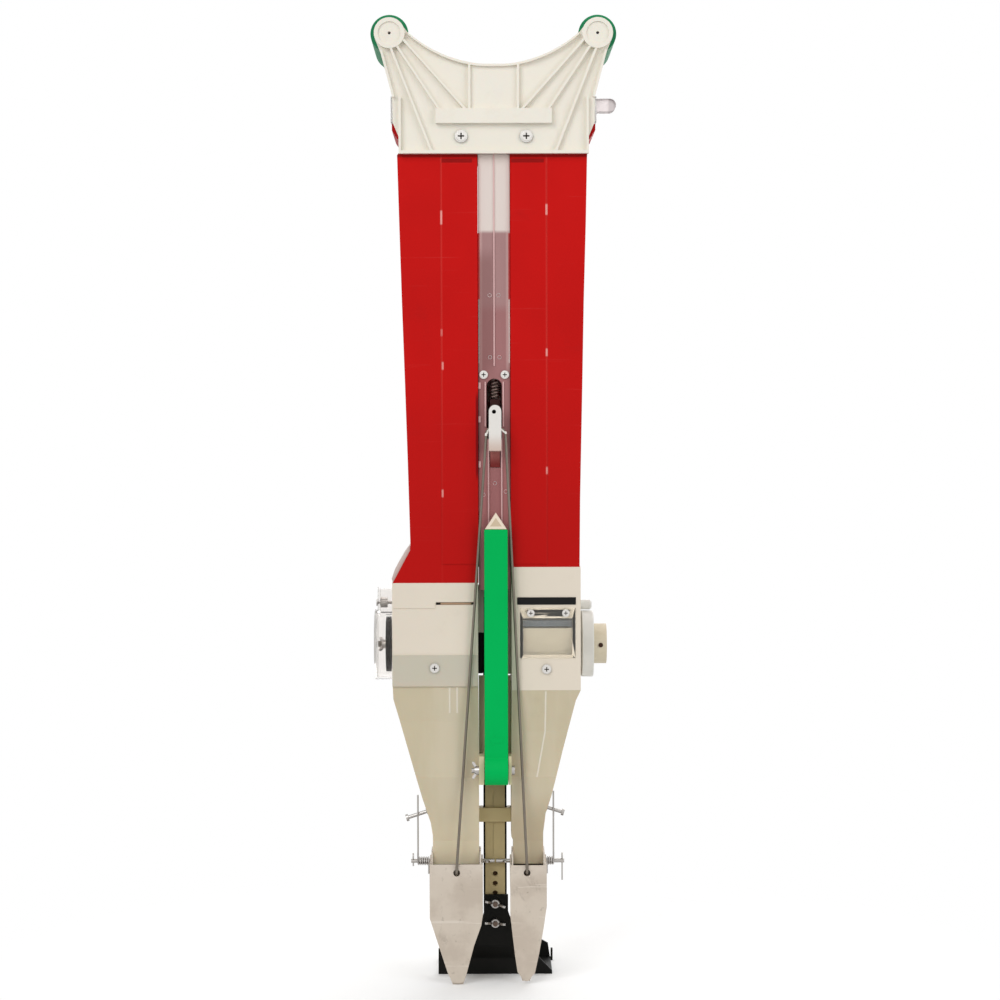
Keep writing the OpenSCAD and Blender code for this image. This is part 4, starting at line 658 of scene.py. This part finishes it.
RIBS = [
    ("rib_seed_1", 294, (-43.4, 287), (-43.4, 262)), ("rib_seed_2", 294, (-36.2, 287), (-36.2, 262)),
    ("rib_fertiliser_1", 284, (48.5, 283), (47.9, 244)), ("rib_fertiliser_2", 284, (47.9, 244), (40, 200)),
]
for name, top, a, b in RIBS:
    start, end = [(x, funnel_front(top, z), z) for x, z in (a, b)]
    bead(name, start, end, 1.7, 0.25, LOOKS["housing_ivory"], "frame")


# Stage: a pale floor that takes the shadow and fades out round the planter
FLOOR_HALF = 0.6
FADE_START, FADE_END = 0.18, 0.55


def floor_material():
    m = bpy.data.materials.new("floor")
    m.use_nodes = True
    t = m.node_tree
    p = t.nodes["Principled BSDF"]
    p.inputs["Base Color"].default_value = (0.96, 0.96, 0.96, 1)
    p.inputs["Roughness"].default_value = 0.9
    p.inputs["Specular IOR Level"].default_value = 0.0
    where = t.nodes.new("ShaderNodeTexCoord")
    far = t.nodes.new("ShaderNodeVectorMath")
    far.operation = "LENGTH"
    t.links.new(where.outputs["Object"], far.inputs[0])
    fade = t.nodes.new("ShaderNodeMapRange")
    fade.interpolation_type = "SMOOTHSTEP"
    fade.inputs["From Min"].default_value = FADE_START
    fade.inputs["From Max"].default_value = FADE_END
    fade.inputs["To Min"].default_value = 1.0
    fade.inputs["To Max"].default_value = 0.0
    t.links.new(far.outputs["Value"], fade.inputs["Value"])
    t.links.new(fade.outputs["Result"], p.inputs["Alpha"])
    return m


def floor():
    bm = bmesh.new()
    bmesh.ops.create_grid(bm, x_segments=1, y_segments=1, size=FLOOR_HALF)
    me = bpy.data.meshes.new("floor")
    bm.to_mesh(me)
    bm.free()
    o = bpy.data.objects.new("floor", me)
    scene.collection.objects.link(o)
    o.data.materials.append(floor_material())


floor()

# World: white where the camera, a mirror or clear plastic sees it, and softer as light
world = bpy.data.worlds.new("world")
scene.world = world
world.use_nodes = True
wt = world.node_tree
bg = wt.nodes["Background"]
path = wt.nodes.new("ShaderNodeLightPath")
seen = path.outputs["Is Camera Ray"]
for ray in ("Is Glossy Ray", "Is Transmission Ray"):
    either = wt.nodes.new("ShaderNodeMath")
    either.operation = "MAXIMUM"
    wt.links.new(seen, either.inputs[0])
    wt.links.new(path.outputs[ray], either.inputs[1])
    seen = either.outputs[0]
strength = wt.nodes.new("ShaderNodeMapRange")
strength.inputs["To Min"].default_value = 0.55
strength.inputs["To Max"].default_value = 1.0
wt.links.new(seen, strength.inputs["Value"])
wt.links.new(strength.outputs["Result"], bg.inputs["Strength"])
bg.inputs["Color"].default_value = (1, 1, 1, 1)


def lamp(name, place, target, size, power):
    data = bpy.data.lights.new(name, "AREA")
    data.energy = power
    data.shape = "RECTANGLE"
    data.size, data.size_y = size
    o = bpy.data.objects.new(name, data)
    scene.collection.objects.link(o)
    o.location = place
    o.rotation_euler = (Vector(target) - Vector(place)).to_track_quat("-Z", "Y").to_euler()


lamp("key", (-1.3, -2.2, 2.0), (0, 0, 0.5), (1.6, 1.6), 33)
lamp("fill", (1.8, -2.0, 1.2), (0, 0, 0.45), (1.8, 1.8), 18)
lamp("top", (0.2, 0.6, 2.6), (0, 0, 0.5), (1.6, 1.6), 24)
lamp("back", (0.6, 2.6, 1.6), (0, 0, 0.5), (2.0, 2.0), 22)

# Camera: its place in the drawing's millimetres
CAMERA_X, CAMERA_Y, CAMERA_Z = 5.2, -2570, 553.6
# It is moved aside by this much and turned back to the hoppers' fronts
ASIDE = -20
HOPPER_FRONT_Y = -63
PITCH = math.radians(-2.0)
ROLL = -0.0024
cam = bpy.data.cameras.new("camera")
cam.lens = 94.75
cam.sensor_width = 36
cam.sensor_fit = "HORIZONTAL"
cam.clip_end = 20
camera = bpy.data.objects.new("camera", cam)
scene.collection.objects.link(camera)
camera.location = at(CAMERA_X + ASIDE, CAMERA_Y, CAMERA_Z)
turn = math.atan(ASIDE / (HOPPER_FRONT_Y - CAMERA_Y))
aim = Matrix.Rotation(turn, 4, "Z") @ Matrix.Rotation(math.pi / 2 + PITCH, 4, "X")
camera.rotation_euler = (aim @ Matrix.Rotation(ROLL, 4, "Z")).to_euler()
scene.camera = camera
